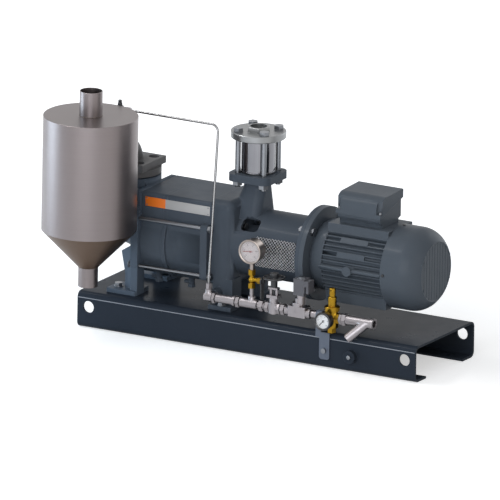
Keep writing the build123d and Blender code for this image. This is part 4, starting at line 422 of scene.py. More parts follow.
@dataclass(frozen=True)
class Finish:
    """A surface of one colour; the others build on it.

    Attributes:
        name: Name of the material.
        slot: Slot of the record that it belongs to.
        color: Main colour.
        shade: Second colour of the mottle or the grain.
        rough: Mean roughness.
    """

    name: str
    slot: str
    color: Color
    shade: Color
    rough: float = 0.4

    def write(self, w: NodeWriter, shader: bpy.types.Node) -> None:
        """Feeds the shader; each finish has its own way."""
        raise NotImplementedError

    def material(self) -> bpy.types.Material:
        """Material of this finish, built once.

        Returns:
            The material.
        """
        known = bpy.data.materials.get(f"{self.name}_finish")
        if known:
            return known
        made = bpy.data.materials.new(f"{self.name}_finish")
        w = fresh(made)
        shader = w.add("ShaderNodeBsdfPrincipled")
        self.write(w, shader)
        w.add("ShaderNodeOutputMaterial", {"Surface": shader.outputs[0]})
        made.diffuse_color = rgba(self.color)
        return made

    @staticmethod
    def group(w: NodeWriter, tree: bpy.types.NodeTree, inputs: dict) -> object:
        """Places one of the shader groups in a material and gives its outputs."""
        return w.add("ShaderNodeGroup", inputs, node_tree=tree).outputs


@dataclass(frozen=True)
class Paint(Finish):
    """Sprayed paint over a casting or a sheet.

    Attributes:
        mottle: Share of the second colour.
        peel: Depth of the surface's waviness, in metres.
        peel_scale: Fineness of the waviness.
        coat: Weight of the clear top layer.
        gloss: Strength of the plain reflection.
        dust: Share of dust on what faces up.
        edge: Strength of the lighter edges, partly wear and partly a painted highlight.
        radius: Radius of the broken edges, in metres.
    """

    mottle: float = 0.35
    peel: float = 0.00012
    peel_scale: float = 420.0
    coat: float = 0.0
    gloss: float = 0.4
    dust: float = 0.12
    edge: float = 0.3
    radius: float = 0.0012

    def write(self, w: NodeWriter, shader: bpy.types.Node) -> None:
        """Feeds the shader from the edge, skin and dust groups.

        Args:
            w: Writer of the material's tree.
            shader: The material's shader node.
        """
        # Lighter edge colour: edge wear and painted highlight.
        lighter = tuple(min(1.0, part * 1.7 + 0.02) for part in self.color)
        edge = self.group(w, GROUPS.edge, {
            "Color": rgba(self.color), "Edge": rgba(lighter), "Amount": self.edge, "Radius": self.radius,
        })
        skin = self.group(w, GROUPS.skin, {
            "Color": edge["Color"], "Shade": rgba(self.shade), "Mottle": self.mottle,
            "Mottle Scale": MOTTLE_SCALE, "Roughness": self.rough, "Roughness Spread": PAINT_SPREAD,
            "Peel Scale": self.peel_scale, "Peel Height": self.peel, "Normal": edge["Normal"],
        })
        dust = self.group(w, GROUPS.dust, {
            "Color": skin["Color"], "Roughness": skin["Roughness"], "Dust": DUST_COLOR,
            "Amount": self.dust,
        })
        w.fill(shader, {
            "Base Color": dust["Color"], "Roughness": dust["Roughness"], "Normal": skin["Normal"],
            "Specular IOR Level": self.gloss, "Coat Weight": self.coat, "Coat Roughness": COAT_ROUGHNESS,
        })


@dataclass(frozen=True)
class Metal(Finish):
    """Bare metal with drawn lines.

    Attributes:
        lines: Scale of the lines along X, Y and Z.
        tint: Share of the second colour.
        depth: Depth of the lines, in metres.
        spread: Change of the roughness over the surface.
        edge: Strength of the lighter edges, partly wear and partly a painted highlight.
        radius: Radius of the broken edges, in metres.
    """

    lines: Point = (500.0, 500.0, 500.0)
    tint: float = 0.3
    depth: float = 0.00004
    spread: float = 0.2
    edge: float = 0.3
    radius: float = 0.0006

    def write(self, w: NodeWriter, shader: bpy.types.Node) -> None:
        """Feeds the shader from the edge and grain groups.

        Args:
            w: Writer of the material's tree.
            shader: The material's shader node.
        """
        # Lighter edge colour: edge wear and painted highlight.
        lighter = tuple(min(1.0, part * 1.3 + 0.05) for part in self.color)
        edge = self.group(w, GROUPS.edge, {
            "Color": rgba(self.color), "Edge": rgba(lighter), "Amount": self.edge, "Radius": self.radius,
        })
        grain = self.group(w, GROUPS.grain, {
            "Color": edge["Color"], "Shade": rgba(self.shade), "Tint": self.tint, "Line Scale": self.lines,
            "Roughness": self.rough, "Roughness Spread": self.spread, "Depth": self.depth,
            "Normal": edge["Normal"],
        })
        w.fill(shader, {
            "Base Color": grain["Color"], "Roughness": grain["Roughness"], "Normal": grain["Normal"],
            "Metallic": 1.0,
        })


@dataclass(frozen=True)
class Glass(Finish):
    """Clear gauge glass, seen mostly by its reflection.

    Attributes:
        cover: Share of the glass that isn't see-through.
    """

    cover: float = 0.1

    def write(self, w: NodeWriter, shader: bpy.types.Node) -> None:
        """Sets plain glass values and a faint change of roughness.

        Args:
            w: Writer of the material's tree.
            shader: The material's shader node.
        """
        skin = self.group(w, GROUPS.skin, {
            "Color": rgba(self.color), "Shade": rgba(self.shade), "Mottle": 0.1, "Mottle Scale": 30.0,
            "Roughness": self.rough, "Roughness Spread": 0.02, "Peel Scale": 80.0, "Peel Height": 0.00001,
            "Normal": w.add("ShaderNodeNewGeometry").outputs["Normal"],
        })
        w.fill(shader, {
            "Base Color": skin["Color"], "Roughness": skin["Roughness"], "Alpha": self.cover, "IOR": 1.45,
        })


class Finishes:
    """Every finish of the package, by its use."""

    base = Paint("base_paint", "base_paint", (0.026, 0.033, 0.045), (0.019, 0.025, 0.035), 0.3,
                 mottle=0.4, peel=0.00002, coat=0.05, gloss=0.02, dust=0.0, edge=0.6, radius=0.0024)
    pump = Paint("pump_paint", "pump_paint", (0.07, 0.085, 0.106), (0.048, 0.06, 0.077), 0.4,
                 peel=0.00022, peel_scale=330.0, coat=0.03, gloss=0.04, dust=0.02, edge=0.5, radius=0.0024)
    cover = Paint("cover_paint", "cover_paint", (0.085, 0.108, 0.14), (0.06, 0.078, 0.105), 0.4,
                  peel=0.00022, peel_scale=330.0, coat=0.03, gloss=0.04, dust=0.02, edge=0.5, radius=0.0024)
    motor = Paint("motor_paint", "motor_paint", (0.08, 0.095, 0.114), (0.058, 0.071, 0.088), 0.36,
                  peel=0.0001, coat=0.04, gloss=0.06, dust=0.02, edge=0.4, radius=0.002)
    stack = Paint("stack_paint", "cover_paint", (0.13, 0.128, 0.13), (0.09, 0.088, 0.09), 0.44, coat=0.03,
                  gloss=0.06, dust=0.03, edge=0.4)
    black = Paint("black_enamel", "black_steel", (0.012, 0.013, 0.016), (0.02, 0.022, 0.026), 0.38, coat=0.2)
    # Painted highlight: light paint for the line of light that the base's front fold reflects.
    painted_highlight = Paint("painted_highlight_paint", "base_paint", (0.3, 0.32, 0.36), (0.16, 0.18, 0.21), 0.35, mottle=0.6,
                   peel=0.00002, dust=0.0, edge=0.0)
    strap = Paint("strap_paint", "black_steel", (0.1, 0.12, 0.16), (0.075, 0.09, 0.12), 0.4, dust=0.03)
    tank = Metal("tank_stainless", "stainless", (0.2, 0.178, 0.18), (0.145, 0.12, 0.115), 0.36,
                 lines=(5.0, 5.0, 800.0), tint=0.5, spread=0.1, edge=0.0)
    # Painted shade: a darker, browner copy of the tank's stainless for the shade on the downward-facing cone.
    cone = Metal("cone_shaded_stainless", "stainless", (0.115, 0.078, 0.056), (0.075, 0.042, 0.025), 0.42,
                 lines=(5.0, 5.0, 800.0), tint=0.5, spread=0.1, edge=0.0)
    weld = Metal("weld_bead", "stainless", (0.17, 0.15, 0.14), (0.1, 0.075, 0.06), 0.4, tint=0.7, edge=0.0)
    # Painted reflection: broad light and dark bands along the tube's axis, for the streaks that the polished
    # tube reflects.
    polished = Metal("polished_tube", "polished_tube", (0.3, 0.3, 0.32), (0.05, 0.05, 0.055), 0.12,
                     lines=(70.0, 70.0, 0.6), tint=0.9, depth=0.000005, spread=0.05)
    flange = Metal("turned_flange", "flange_steel", (0.24, 0.245, 0.25), (0.14, 0.145, 0.15), 0.34,
                   lines=(300.0, 300.0, 900.0))
    zinc = Metal("zinc_plate", "zinc", (0.22, 0.23, 0.25), (0.12, 0.13, 0.14), 0.34)
    strand = Metal("guard_strand", "black_steel", (0.78, 0.8, 0.85), (0.6, 0.62, 0.66), 0.35)
    line = Metal("line_steel", "line_steel", (0.3, 0.282, 0.295), (0.19, 0.172, 0.178), 0.36,
                 lines=(260.0, 260.0, 260.0), depth=0.00006, tint=0.5)
    tube = Metal("bright_tube", "line_steel", (0.25, 0.25, 0.255), (0.2, 0.2, 0.205), 0.24,
                 lines=(20.0, 20.0, 20.0), depth=0.0, tint=0.3, spread=0.05, radius=0.0004)
    brass = Metal("satin_brass", "brass", (0.34, 0.2, 0.018), (0.16, 0.085, 0.01), 0.3,
                  lines=(240.0, 240.0, 240.0), depth=0.00006, tint=0.6)
    bezel = Metal("gauge_steel", "gauge_steel", (0.3, 0.26, 0.24), (0.2, 0.17, 0.14), 0.3)
    shaft = Metal("ground_steel", "shaft_steel", (0.5, 0.5, 0.5), (0.4, 0.4, 0.4), 0.26,
                  lines=(900.0, 8.0, 8.0))
    bearing = Metal("bearing_steel", "bearing_steel", (0.62, 0.62, 0.64), (0.5, 0.5, 0.52), 0.18)
    core = Metal("lamination_stack", "core_steel", (0.34, 0.25, 0.18), (0.24, 0.18, 0.14), 0.5,
                 lines=(1200.0, 4.0, 4.0))
    inner = Metal("machined_casting", "cast_inner", (0.3, 0.29, 0.28), (0.2, 0.2, 0.2), 0.5)
    coil = Paint("coil_plastic", "coil_plastic", (0.1, 0.1, 0.112), (0.075, 0.075, 0.085), 0.5,
                 peel=0.00018, peel_scale=900.0, dust=0.03, gloss=0.3)
    # Painted shadow: dark rings in the gaps where the line's pipes enter their fittings.
    dark = Paint("joint_gap_shadow", "coil_plastic", (0.012, 0.012, 0.013), (0.02, 0.02, 0.02), 0.5, dust=0.03)
    fan = Paint("fan_plastic", "fan_plastic", (0.03, 0.03, 0.032), (0.02, 0.02, 0.022), 0.5)
    gasket = Paint("gasket_fibre", "gasket", (0.035, 0.04, 0.04), (0.02, 0.025, 0.025), 0.8, peel=0.0002)
    spider = Paint("spider_rubber", "spider_rubber", (0.03, 0.02, 0.02), (0.02, 0.015, 0.015), 0.6, dust=0.02)
    seal = Paint("seal_ring", "seal_face", (0.04, 0.04, 0.04), (0.03, 0.03, 0.03), 0.4)
    dial = Paint("dial_cream", "gauge_steel", (0.5, 0.43, 0.43), (0.44, 0.38, 0.38), 0.5, mottle=0.2,
                 peel=0.00001, dust=0.0, edge=0.0)
    dial_white = Paint("dial_white", "gauge_black", (0.85, 0.85, 0.86), (0.8, 0.8, 0.82), 0.5, mottle=0.2,
                       peel=0.00001, dust=0.0, edge=0.0)
    case = Paint("gauge_case_black", "gauge_black", (0.012, 0.012, 0.014), (0.02, 0.02, 0.022), 0.32,
                 coat=0.3)
    ink = Paint("dial_ink", "pointer_black", (0.015, 0.015, 0.016), (0.02, 0.02, 0.02), 0.5, dust=0.0)
    red = Paint("pointer_red", "pointer_black", (0.22, 0.015, 0.012), (0.16, 0.01, 0.01), 0.45, dust=0.0)
    orange = Paint("strip_orange", "pump_paint", (0.76, 0.17, 0.015), (0.68, 0.15, 0.02), 0.4, peel=0.00002,
                   mottle=0.2, dust=0.0, edge=0.0)
    gray = Paint("strip_gray", "pump_paint", (0.42, 0.42, 0.42), (0.38, 0.38, 0.38), 0.4, peel=0.00002,
                 mottle=0.2, dust=0.0, edge=0.0)
    glass = Glass("gauge_glass", "gauge_steel", (0.95, 0.97, 0.97), (0.9, 0.93, 0.93), 0.04)


# Geometry trees, each built once, for what repeats


WASHER_SHARE = 0.2  # of a screw head's height
BODY_SHARE = 0.65
CROWN_SHARE = 0.15
CROWN_TAPER = 0.84  # of a screw head's radius
BEAD_SMALLEST = (0.8, 0.8, 0.6)
BEAD_LARGEST = (1.25, 1.25, 1.0)
TICK_HEIGHT = 0.00012  # metres
SHORT_TICK = 0.5  # of a long one


class PatternTrees:
    """Builds and keeps the geometry node trees; every tree works in metres round its own zero."""

    def __init__(self) -> None:
        """Builds every tree."""
        self.heads = self._tree("screw_heads", self._write_heads, {
            "Sides": 6, "Radius": 0.005, "Height": 0.004, "Washer": 0.007, "Turn": (0.0, 0.0, 0.0),
        })
        self.beads = self._tree("weld_beads", self._write_beads, {
            "Count": 60, "Radius": 0.1, "Size": 0.002, "Seed": 1,
        })
        self.ticks = self._tree("dial_ticks", self._write_ticks, {
            "Count": 21, "Radius": 0.025, "Start": -2.36, "Step": 0.236, "Length": 0.004, "Every": 5,
            "Width": 0.0006,
        })
        self.rings = self._tree("thread_rings", self._write_rings, {
            "Count": 5, "Pitch": 0.002, "Radius": 0.01, "Thickness": 0.0006,
        })
        self.slats = self._tree("grille_slats", self._write_slats, {
            "Count": 11, "Pitch": 0.014, "Radius": 0.08, "Width": 0.009, "Thickness": 0.001,
        })
        self.lattice = self._tree("guard_lattice", self._write_lattice, {
            "Columns": 17, "Rows": 16, "Pitch X": 0.0062, "Pitch Y": 0.0044, "Radius": 0.0905,
            "Strand": 0.0006,
        })

    def _tree(
        self, name: str, write: Callable[[NodeWriter, object], Socket], inputs: dict,
    ) -> bpy.types.NodeTree:
        """Makes a tree that ends in real faces with one finish.

        Args:
            name: Name of the tree.
            write: Method that writes the nodes and returns the shape's socket.
            inputs: First value of each input, by name.

        Returns:
            The finished tree.
        """
        tree = bpy.data.node_groups.new(name, "GeometryNodeTree")
        tree.interface.new_socket("Points", in_out="INPUT", socket_type="NodeSocketGeometry")
        add_inputs(tree, inputs)
        tree.interface.new_socket("Finish", in_out="INPUT", socket_type="NodeSocketMaterial")
        tree.interface.new_socket("Shape", in_out="OUTPUT", socket_type="NodeSocketGeometry")
        w = NodeWriter(tree)
        source = w.add("NodeGroupInput").outputs
        real = w.add("GeometryNodeRealizeInstances", {0: write(w, source)})
        dressed = w.add("GeometryNodeSetMaterial", {
            "Geometry": real.outputs[0], "Material": source["Finish"],
        })
        w.add("NodeGroupOutput", {0: dressed.outputs[0]})
        return tree

    def _write_heads(self, w: NodeWriter, source: object) -> Socket:
        """Screw heads with a washer and a broken top edge, one on each point.

        Args:
            w: Writer of the tree.
            source: The tree's inputs.

        Returns:
            Socket of the instances.
        """
        thin = w.times(source["Height"], WASHER_SHARE)
        tall = w.times(source["Height"], BODY_SHARE)
        crown = w.times(source["Height"], CROWN_SHARE)
        washer = w.add("GeometryNodeMeshCylinder", {
            "Vertices": 20, "Radius": source["Washer"], "Depth": thin,
        })
        body = w.add("GeometryNodeMeshCylinder", {
            "Vertices": source["Sides"], "Radius": source["Radius"], "Depth": tall,
        })
        top = w.add("GeometryNodeMeshCone", {
            "Vertices": source["Sides"], "Radius Top": w.times(source["Radius"], CROWN_TAPER),
            "Radius Bottom": source["Radius"], "Depth": crown,
        })
        low = w.moved(washer.outputs[0], w.vector(z=w.times(thin, 0.5)))
        middle = w.moved(body.outputs[0], w.vector(z=w.plus(thin, w.times(tall, 0.5))))
        high = w.moved(top.outputs[0], w.vector(z=w.plus(thin, tall)))
        return w.copies(source["Points"], w.joined(low, middle, high), {"Rotation": source["Turn"]})

    def _write_beads(self, w: NodeWriter, source: object) -> Socket:
        """Ring of small uneven weld beads.

        Args:
            w: Writer of the tree.
            source: The tree's inputs.

        Returns:
            Socket of the instances.
        """
        ring = w.add("GeometryNodeMeshCircle", {"Vertices": source["Count"], "Radius": source["Radius"]})
        bead = w.add("GeometryNodeMeshUVSphere", {"Segments": 6, "Rings": 4, "Radius": source["Size"]})
        scale = w.add("FunctionNodeRandomValue", {
            0: BEAD_SMALLEST, 1: BEAD_LARGEST, "Seed": source["Seed"],
        }, data_type="FLOAT_VECTOR")
        return w.copies(ring.outputs[0], bead.outputs[0], {"Scale": scale.outputs[0]})

    def _write_ticks(self, w: NodeWriter, source: object) -> Socket:
        """Scale lines on a dial, long ones at every so many.

        Args:
            w: Writer of the tree.
            source: The tree's inputs.

        Returns:
            Socket of the instances.
        """
        index = w.index()
        angle = w.plus(source["Start"], w.times(index, source["Step"]))
        x = w.times(w.sum("SINE", angle), source["Radius"])
        y = w.times(w.sum("COSINE", angle), source["Radius"])
        line = w.add("GeometryNodeMeshCube", {
            "Size": w.vector(source["Width"], source["Length"], TICK_HEIGHT),
        })
        hung = w.moved(line.outputs[0], w.vector(y=w.times(source["Length"], -0.5)))
        minor = w.sum("GREATER_THAN", w.sum("MODULO", index, source["Every"]), 0.5)
        share = w.ramp(minor, 0.0, 1.0, 1.0, SHORT_TICK)
        return w.copies(w.spots(source["Count"], x, y), hung, {
            "Scale": w.vector(share, share, 1.0), "Rotation": w.vector(z=w.times(angle, -1.0)),
        })

    def _write_rings(self, w: NodeWriter, source: object) -> Socket:
        """Row of thin rings along Z, such as a thread's crests.

        Args:
            w: Writer of the tree.
            source: The tree's inputs.

        Returns:
            Socket of the instances.
        """
        row = w.add("GeometryNodeMeshLine", {"Count": source["Count"], "Offset": w.vector(z=source["Pitch"])})
        ring = w.wire(w.ring(40, source["Radius"]), w.ring(5, source["Thickness"]))
        return w.copies(row.outputs[0], ring)

    def _write_slats(self, w: NodeWriter, source: object) -> Socket:
        """Upright slats that fill a circle.

        Args:
            w: Writer of the tree.
            source: The tree's inputs.

        Returns:
            Socket of the instances.
        """
        index = w.index()
        middle = w.times(w.minus(source["Count"], 1.0), 0.5)
        x = w.times(w.minus(index, middle), source["Pitch"])
        left = w.minus(w.times(source["Radius"], source["Radius"]), w.times(x, x))
        reach = w.times(w.sum("SQRT", w.sum("MAXIMUM", left, 0.0001)), 2.0)
        slat = w.add("GeometryNodeMeshCube", {"Size": w.vector(source["Width"], 1.0, source["Thickness"])})
        return w.copies(w.spots(source["Count"], x), slat.outputs[0], {"Scale": w.vector(1.0, reach, 1.0)})

    def _write_lattice(self, w: NodeWriter, source: object) -> Socket:
        """Sheet of diamond meshes, bent round the X axis with its middle on +Z.

        Args:
            w: Writer of the tree.
            source: The tree's inputs.

        Returns:
            Socket of the bent sheet.
        """
        index = w.index()
        line = w.sum("FLOOR", w.sum("DIVIDE", w.plus(index, 0.5), source["Columns"]))
        column = w.minus(index, w.times(line, source["Columns"]))
        shift = w.times(w.sum("MODULO", line, 2.0), 0.5)
        middle_x = w.times(w.minus(source["Columns"], 0.5), 0.5)
        middle_y = w.times(w.minus(source["Rows"], 1.0), 0.5)
        x = w.times(w.minus(w.plus(column, shift), middle_x), source["Pitch X"])
        y = w.times(w.minus(line, middle_y), w.times(source["Pitch Y"], 0.5))
        points = w.spots(w.times(source["Columns"], source["Rows"]), x, y)
        stretched = w.add("GeometryNodeTransform", {
            "Geometry": w.ring(4, 0.5), "Scale": w.vector(source["Pitch X"], source["Pitch Y"], 1.0),
        })
        mesh = w.wire(stretched.outputs[0], w.ring(4, source["Strand"]))
        real = w.add("GeometryNodeRealizeInstances", {0: w.copies(points, mesh)})
        spot = w.add("ShaderNodeSeparateXYZ", {0: w.add("GeometryNodeInputPosition").outputs[0]}).outputs
        turn = w.sum("DIVIDE", spot[1], source["Radius"])
        reach = w.plus(source["Radius"], spot[2])
        bent = w.vector(spot[0], w.times(w.sum("SINE", turn), reach), w.times(w.sum("COSINE", turn), reach))
        return w.add("GeometryNodeSetPosition", {"Geometry": real.outputs[0], "Position": bent}).outputs[0]


PATTERNS = PatternTrees()


# Meshes and pieces


def plain_mesh(build: bmesh.types.BMesh, outward: bool = True) -> Mesh:
    """Plain mesh of an edit mesh.

    Args:
        build: The edit mesh, which is freed.
        outward: Whether the faces are turned outwards first.

    Returns:
        The plain mesh.
    """
    if outward:
        bmesh.ops.remove_doubles(build, verts=build.verts, dist=SAME_PLACE)
        bmesh.ops.recalc_face_normals(build, faces=build.faces)
    mesh = bpy.data.meshes.new("shape")
    build.to_mesh(mesh)
    build.free()
    return mesh


def linked(name: str, data: bpy.types.ID) -> bpy.types.Object:
    """New object of some data, linked to the scene.

    Args:
        name: Name of the object.
        data: Mesh, lamp or camera data.

    Returns:
        The new object.
    """
    made = bpy.data.objects.new(name, data)
    bpy.context.scene.collection.objects.link(made)
    return made


def evaluated(holder: bpy.types.Object) -> Mesh:
    """Plain mesh of an object after its modifiers."""
    graph = bpy.context.evaluated_depsgraph_get()
    return bpy.data.meshes.new_from_object(holder.evaluated_get(graph))


def shown(name: str, mesh: Mesh, finishes: Sequence[Finish]) -> bpy.types.Object:
    """Makes an object from a mesh and dresses it.

    Args:
        name: Name of the piece.
        mesh: Mesh in the row frame.
        finishes: One finish for each material number of the mesh.

    Returns:
        The new object, linked to the scene.
    """
    mesh.name = name
    made = linked(name, mesh)
    for finish in finishes:
        mesh.materials.append(finish.material())
    mesh.shade_smooth()
    mesh.set_sharp_from_angle(angle=math.radians(SMOOTH_ANGLE))
    return made


def lathe(profile: Profile, origin: Vector, way: Way, segments: int = 96, loop: bool = False) -> Mesh:
    """Turns a profile round an axis.

    Args:
        profile: Points of distance along the axis and radius, in millimetres.
        origin: Zero of the axis, in metres.
        way: Direction of the axis.
        segments: Number of steps round the axis.
        loop: Whether the profile closes on itself, as a tube's wall does.

    Returns:
        The turned mesh.
    """
    build = bmesh.new()
    rings: list[list[bmesh.types.BMVert]] = []
    for along, radius in profile:
        steps = segments if radius > SAME_PLACE else 1
        rings.append([
            build.verts.new((
                radius * math.cos(math.tau * step / segments) / 1000,
                radius * math.sin(math.tau * step / segments) / 1000, along / 1000,
            ))
            for step in range(steps)
        ])
    pairs = list(zip(rings, rings[1:]))
    if loop:
        pairs.append((rings[-1], rings[0]))
    for first, second in pairs:
        for step in range(segments):
            after = (step + 1) % segments
            corners = [first[step % len(first)], first[after % len(first)],
                       second[after % len(second)], second[step % len(second)]]
            distinct = list(dict.fromkeys(corners))
            if len(distinct) > 2:
                build.faces.new(distinct)
    build.transform(way.frame(origin))
    return plain_mesh(build)


def plate(low: Vector, high: Vector, round_by: float) -> Mesh:
    """Thin block between two corners, with its edges broken.

    Args:
        low: Lower corner, in metres.
        high: Upper corner, in metres.
        round_by: Width of the broken edges, in metres.

    Returns:
        The block's mesh.
    """
    build = bmesh.new()
    bmesh.ops.create_cube(build, size=1.0)
    size = high - low
    build.transform(Matrix.Translation((low + high) / 2) @ Matrix.Diagonal((*size, 1.0)))
    bmesh.ops.bevel(build, geom=build.edges[:], offset=min(round_by, min(size) * 0.4), segments=2,
                    affect="EDGES", profile=0.5)
    return plain_mesh(build)


def prism(outline: Sequence[tuple[float, float]], thickness: float, frame_matrix: Matrix) -> Mesh:
    """Outline pulled up to a thickness.

    Args:
        outline: Corners in millimetres.
        thickness: Height of the prism, in millimetres.
        frame_matrix: Matrix that places the prism.

    Returns:
        The prism's mesh.
    """
    build = bmesh.new()
    low = [build.verts.new((x / 1000, y / 1000, 0.0)) for x, y in outline]
    high = [build.verts.new((x / 1000, y / 1000, thickness / 1000)) for x, y in outline]
    build.faces.new(low[::-1])
    build.faces.new(high)
    for order in range(len(low)):
        after = (order + 1) % len(low)
        build.faces.new((low[order], low[after], high[after], high[order]))
    build.transform(frame_matrix)
    return plain_mesh(build)


def pattern(tree: bpy.types.NodeTree, finish: Finish, inputs: dict, points: Sequence[Vector] = ()) -> Mesh:
    """Plain mesh of what a geometry tree makes.

    Args:
        tree: The geometry tree.
        finish: Finish that the tree gives to its faces.
        inputs: Values of the tree's inputs, by name.
        points: Points that the tree may set its shapes on.

    Returns:
        The result as a plain mesh.
    """
    seeds = bpy.data.meshes.new("points")
    seeds.from_pydata([tuple(point) for point in points], [], [])
    holder = linked("holder", seeds)
    modifier = holder.modifiers.new("pattern", "NODES")
    modifier.node_group = tree
    values = {**inputs, "Finish": finish.material()}
    for item in tree.interface.items_tree:
        if item.in_out == "INPUT" and item.name in values:
            modifier[item.identifier] = values[item.name]
    made = evaluated(holder)
    holder.modifiers.clear()
    bpy.data.objects.remove(holder)
    bpy.data.meshes.remove(seeds)
    return made


@dataclass(frozen=True)
class Head:
    """Sizes of a screw head, in millimetres.

    Attributes:
        radius: Radius of the head to its corners.
        height: Height of head and washer together.
        washer: Radius of the washer.
        sides: Number of the head's sides.
    """

    radius: float
    height: float
    washer: float
    sides: int = 6

    def row(self, points: Sequence[Vector], way: Way, finish: Finish) -> Mesh:
        """Screw heads on points that all look the same way.

        Args:
            points: Feet of the heads, in metres.
            way: Direction in which the heads stand up.
            finish: Finish of the heads.

        Returns:
            The heads as one mesh.
        """
        turn = way.frame(Vector()).to_euler()
        return pattern(PATTERNS.heads, finish, {
            "Sides": self.sides, "Radius": self.radius / 1000, "Height": self.height / 1000,
            "Washer": self.washer / 1000, "Turn": tuple(turn),
        }, points)


def weld_ring(origin: Vector, way: Way, radius: float, size: float, finish: Finish, seed: int) -> Mesh:
    """Ring of weld beads; sizes in millimetres.

    Args:
        origin: Middle of the ring, in metres.
        way: Direction of the ring's axis.
        radius: Radius of the ring.
        size: Radius of one bead.
        finish: Finish of the beads.
        seed: Number that fixes their unevenness.

    Returns:
        The ring's mesh.
    """
    count = int(math.tau * radius / (size * 1.1))
    made = pattern(PATTERNS.beads, finish, {
        "Count": count, "Radius": radius / 1000, "Size": size / 1000, "Seed": seed,
    })
    made.transform(way.frame(origin))
    return made


def thread(origin: Vector, way: Way, length: float, radius: float, finish: Finish,
           pitch: float = 1.8, thickness: float = 0.55) -> Mesh:
    """Crests of a thread along an axis; sizes in millimetres.

    Args:
        origin: Start of the thread, in metres.
        way: Direction of the thread.
        length: Length of the thread.
        radius: Radius of the crests' middle.
        finish: Finish of the thread.
        pitch: Distance between two crests.
        thickness: Radius of one crest.

    Returns:
        The thread's mesh.
    """
    made = pattern(PATTERNS.rings, finish, {
        "Count": max(1, int(length / pitch)), "Pitch": pitch / 1000, "Radius": radius / 1000,
        "Thickness": thickness / 1000,
    })
    made.transform(way.frame(origin))
    return made


def merged(meshes: Iterable[Mesh], numbers: Sequence[int]) -> Mesh:
    """Joins meshes into one.

    Args:
        meshes: Meshes in the row frame.
        numbers: Material number of each mesh.

    Returns:
        One mesh that holds them all.
    """
    build = bmesh.new()
    for mesh, number in zip(meshes, numbers):
        before = len(build.faces)
        build.from_mesh(mesh)
        build.faces.ensure_lookup_table()
        for face in build.faces[before:]:
            face.material_index = number
        bpy.data.meshes.remove(mesh)
    return plain_mesh(build, outward=False)


def node_copy(node: str) -> Mesh:
    """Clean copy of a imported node's mesh, with its flat faces whole again.

    Args:
        node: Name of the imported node.

    Returns:
        The copy, without a material.
    """
    build = bmesh.new()
    build.from_mesh(frame["nodes"][node].data)
    bmesh.ops.remove_doubles(build, verts=build.verts, dist=NODE_SAME_PLACE)
    flat = math.radians(FLAT_ANGLE)
    bmesh.ops.dissolve_limit(build, angle_limit=flat, verts=build.verts, edges=build.edges)
    return plain_mesh(build, outward=False)


def settle(piece: bpy.types.Object, body: str, slot: str, nodes: Sequence[str] = ()) -> bpy.types.Object:
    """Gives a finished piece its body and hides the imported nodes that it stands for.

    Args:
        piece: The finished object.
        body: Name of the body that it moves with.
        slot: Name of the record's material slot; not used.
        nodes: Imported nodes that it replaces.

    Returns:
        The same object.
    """
    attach(piece, body)
    if nodes:
        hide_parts(*nodes)
    LOG.info("piece %s rides on %s, %d faces", piece.name, body, len(piece.data.polygons))
    return piece


BODY_OF = {node: body for body, nodes in frame["record"]["behaviour"]["bodies"].items() for node in nodes}


def skin_node(node: str, finish: Finish) -> bpy.types.Object:
    """Stands a smooth-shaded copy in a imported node's place.

    Args:
        node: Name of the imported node.
        finish: Finish of the whole copy.

    Returns:
        The new piece.
    """
    piece = shown(f"{node}_skin", node_copy(node), [finish])
    weights = piece.modifiers.new("even_normals", "WEIGHTED_NORMAL")
    weights.keep_sharp = True
    bpy.context.view_layer.update()
    result = evaluated(piece)
    piece.modifiers.remove(weights)
    piece.data = result
    result.name = piece.name
    return settle(piece, BODY_OF[node], finish.slot, [node])


def tint_node(node: str, finish: Finish) -> None:
    """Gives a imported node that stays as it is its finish.

    Args:
        node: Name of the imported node.
        finish: Finish of the whole node.
    """
    target = frame["nodes"][node]
    target.data.materials.clear()
    target.data.materials.append(finish.material())
    LOG.info("node %s keeps its own mesh", node)


def extra(name: str, meshes: Sequence[Mesh], finishes: Sequence[Finish]) -> bpy.types.Object:
    """Piece of added detail on the frame, with one finish for each of its meshes.

    Args:
        name: Name of the piece.
        meshes: Its meshes.
        finishes: Finish of each mesh, in the same order; a single one holds for all.

    Returns:
        The new piece.
    """
    if len(finishes) == 1:
        finishes = list(finishes) * len(meshes)
    distinct = list(dict.fromkeys(finishes))
    piece = shown(name, merged(meshes, [distinct.index(finish) for finish in finishes]), distinct)
    return settle(piece, "frame", finishes[0].slot)


class Assembly:
    """A group of pieces that are built together."""

    def build(self) -> None:
        """Builds and dresses every piece of the group."""
        raise NotImplementedError


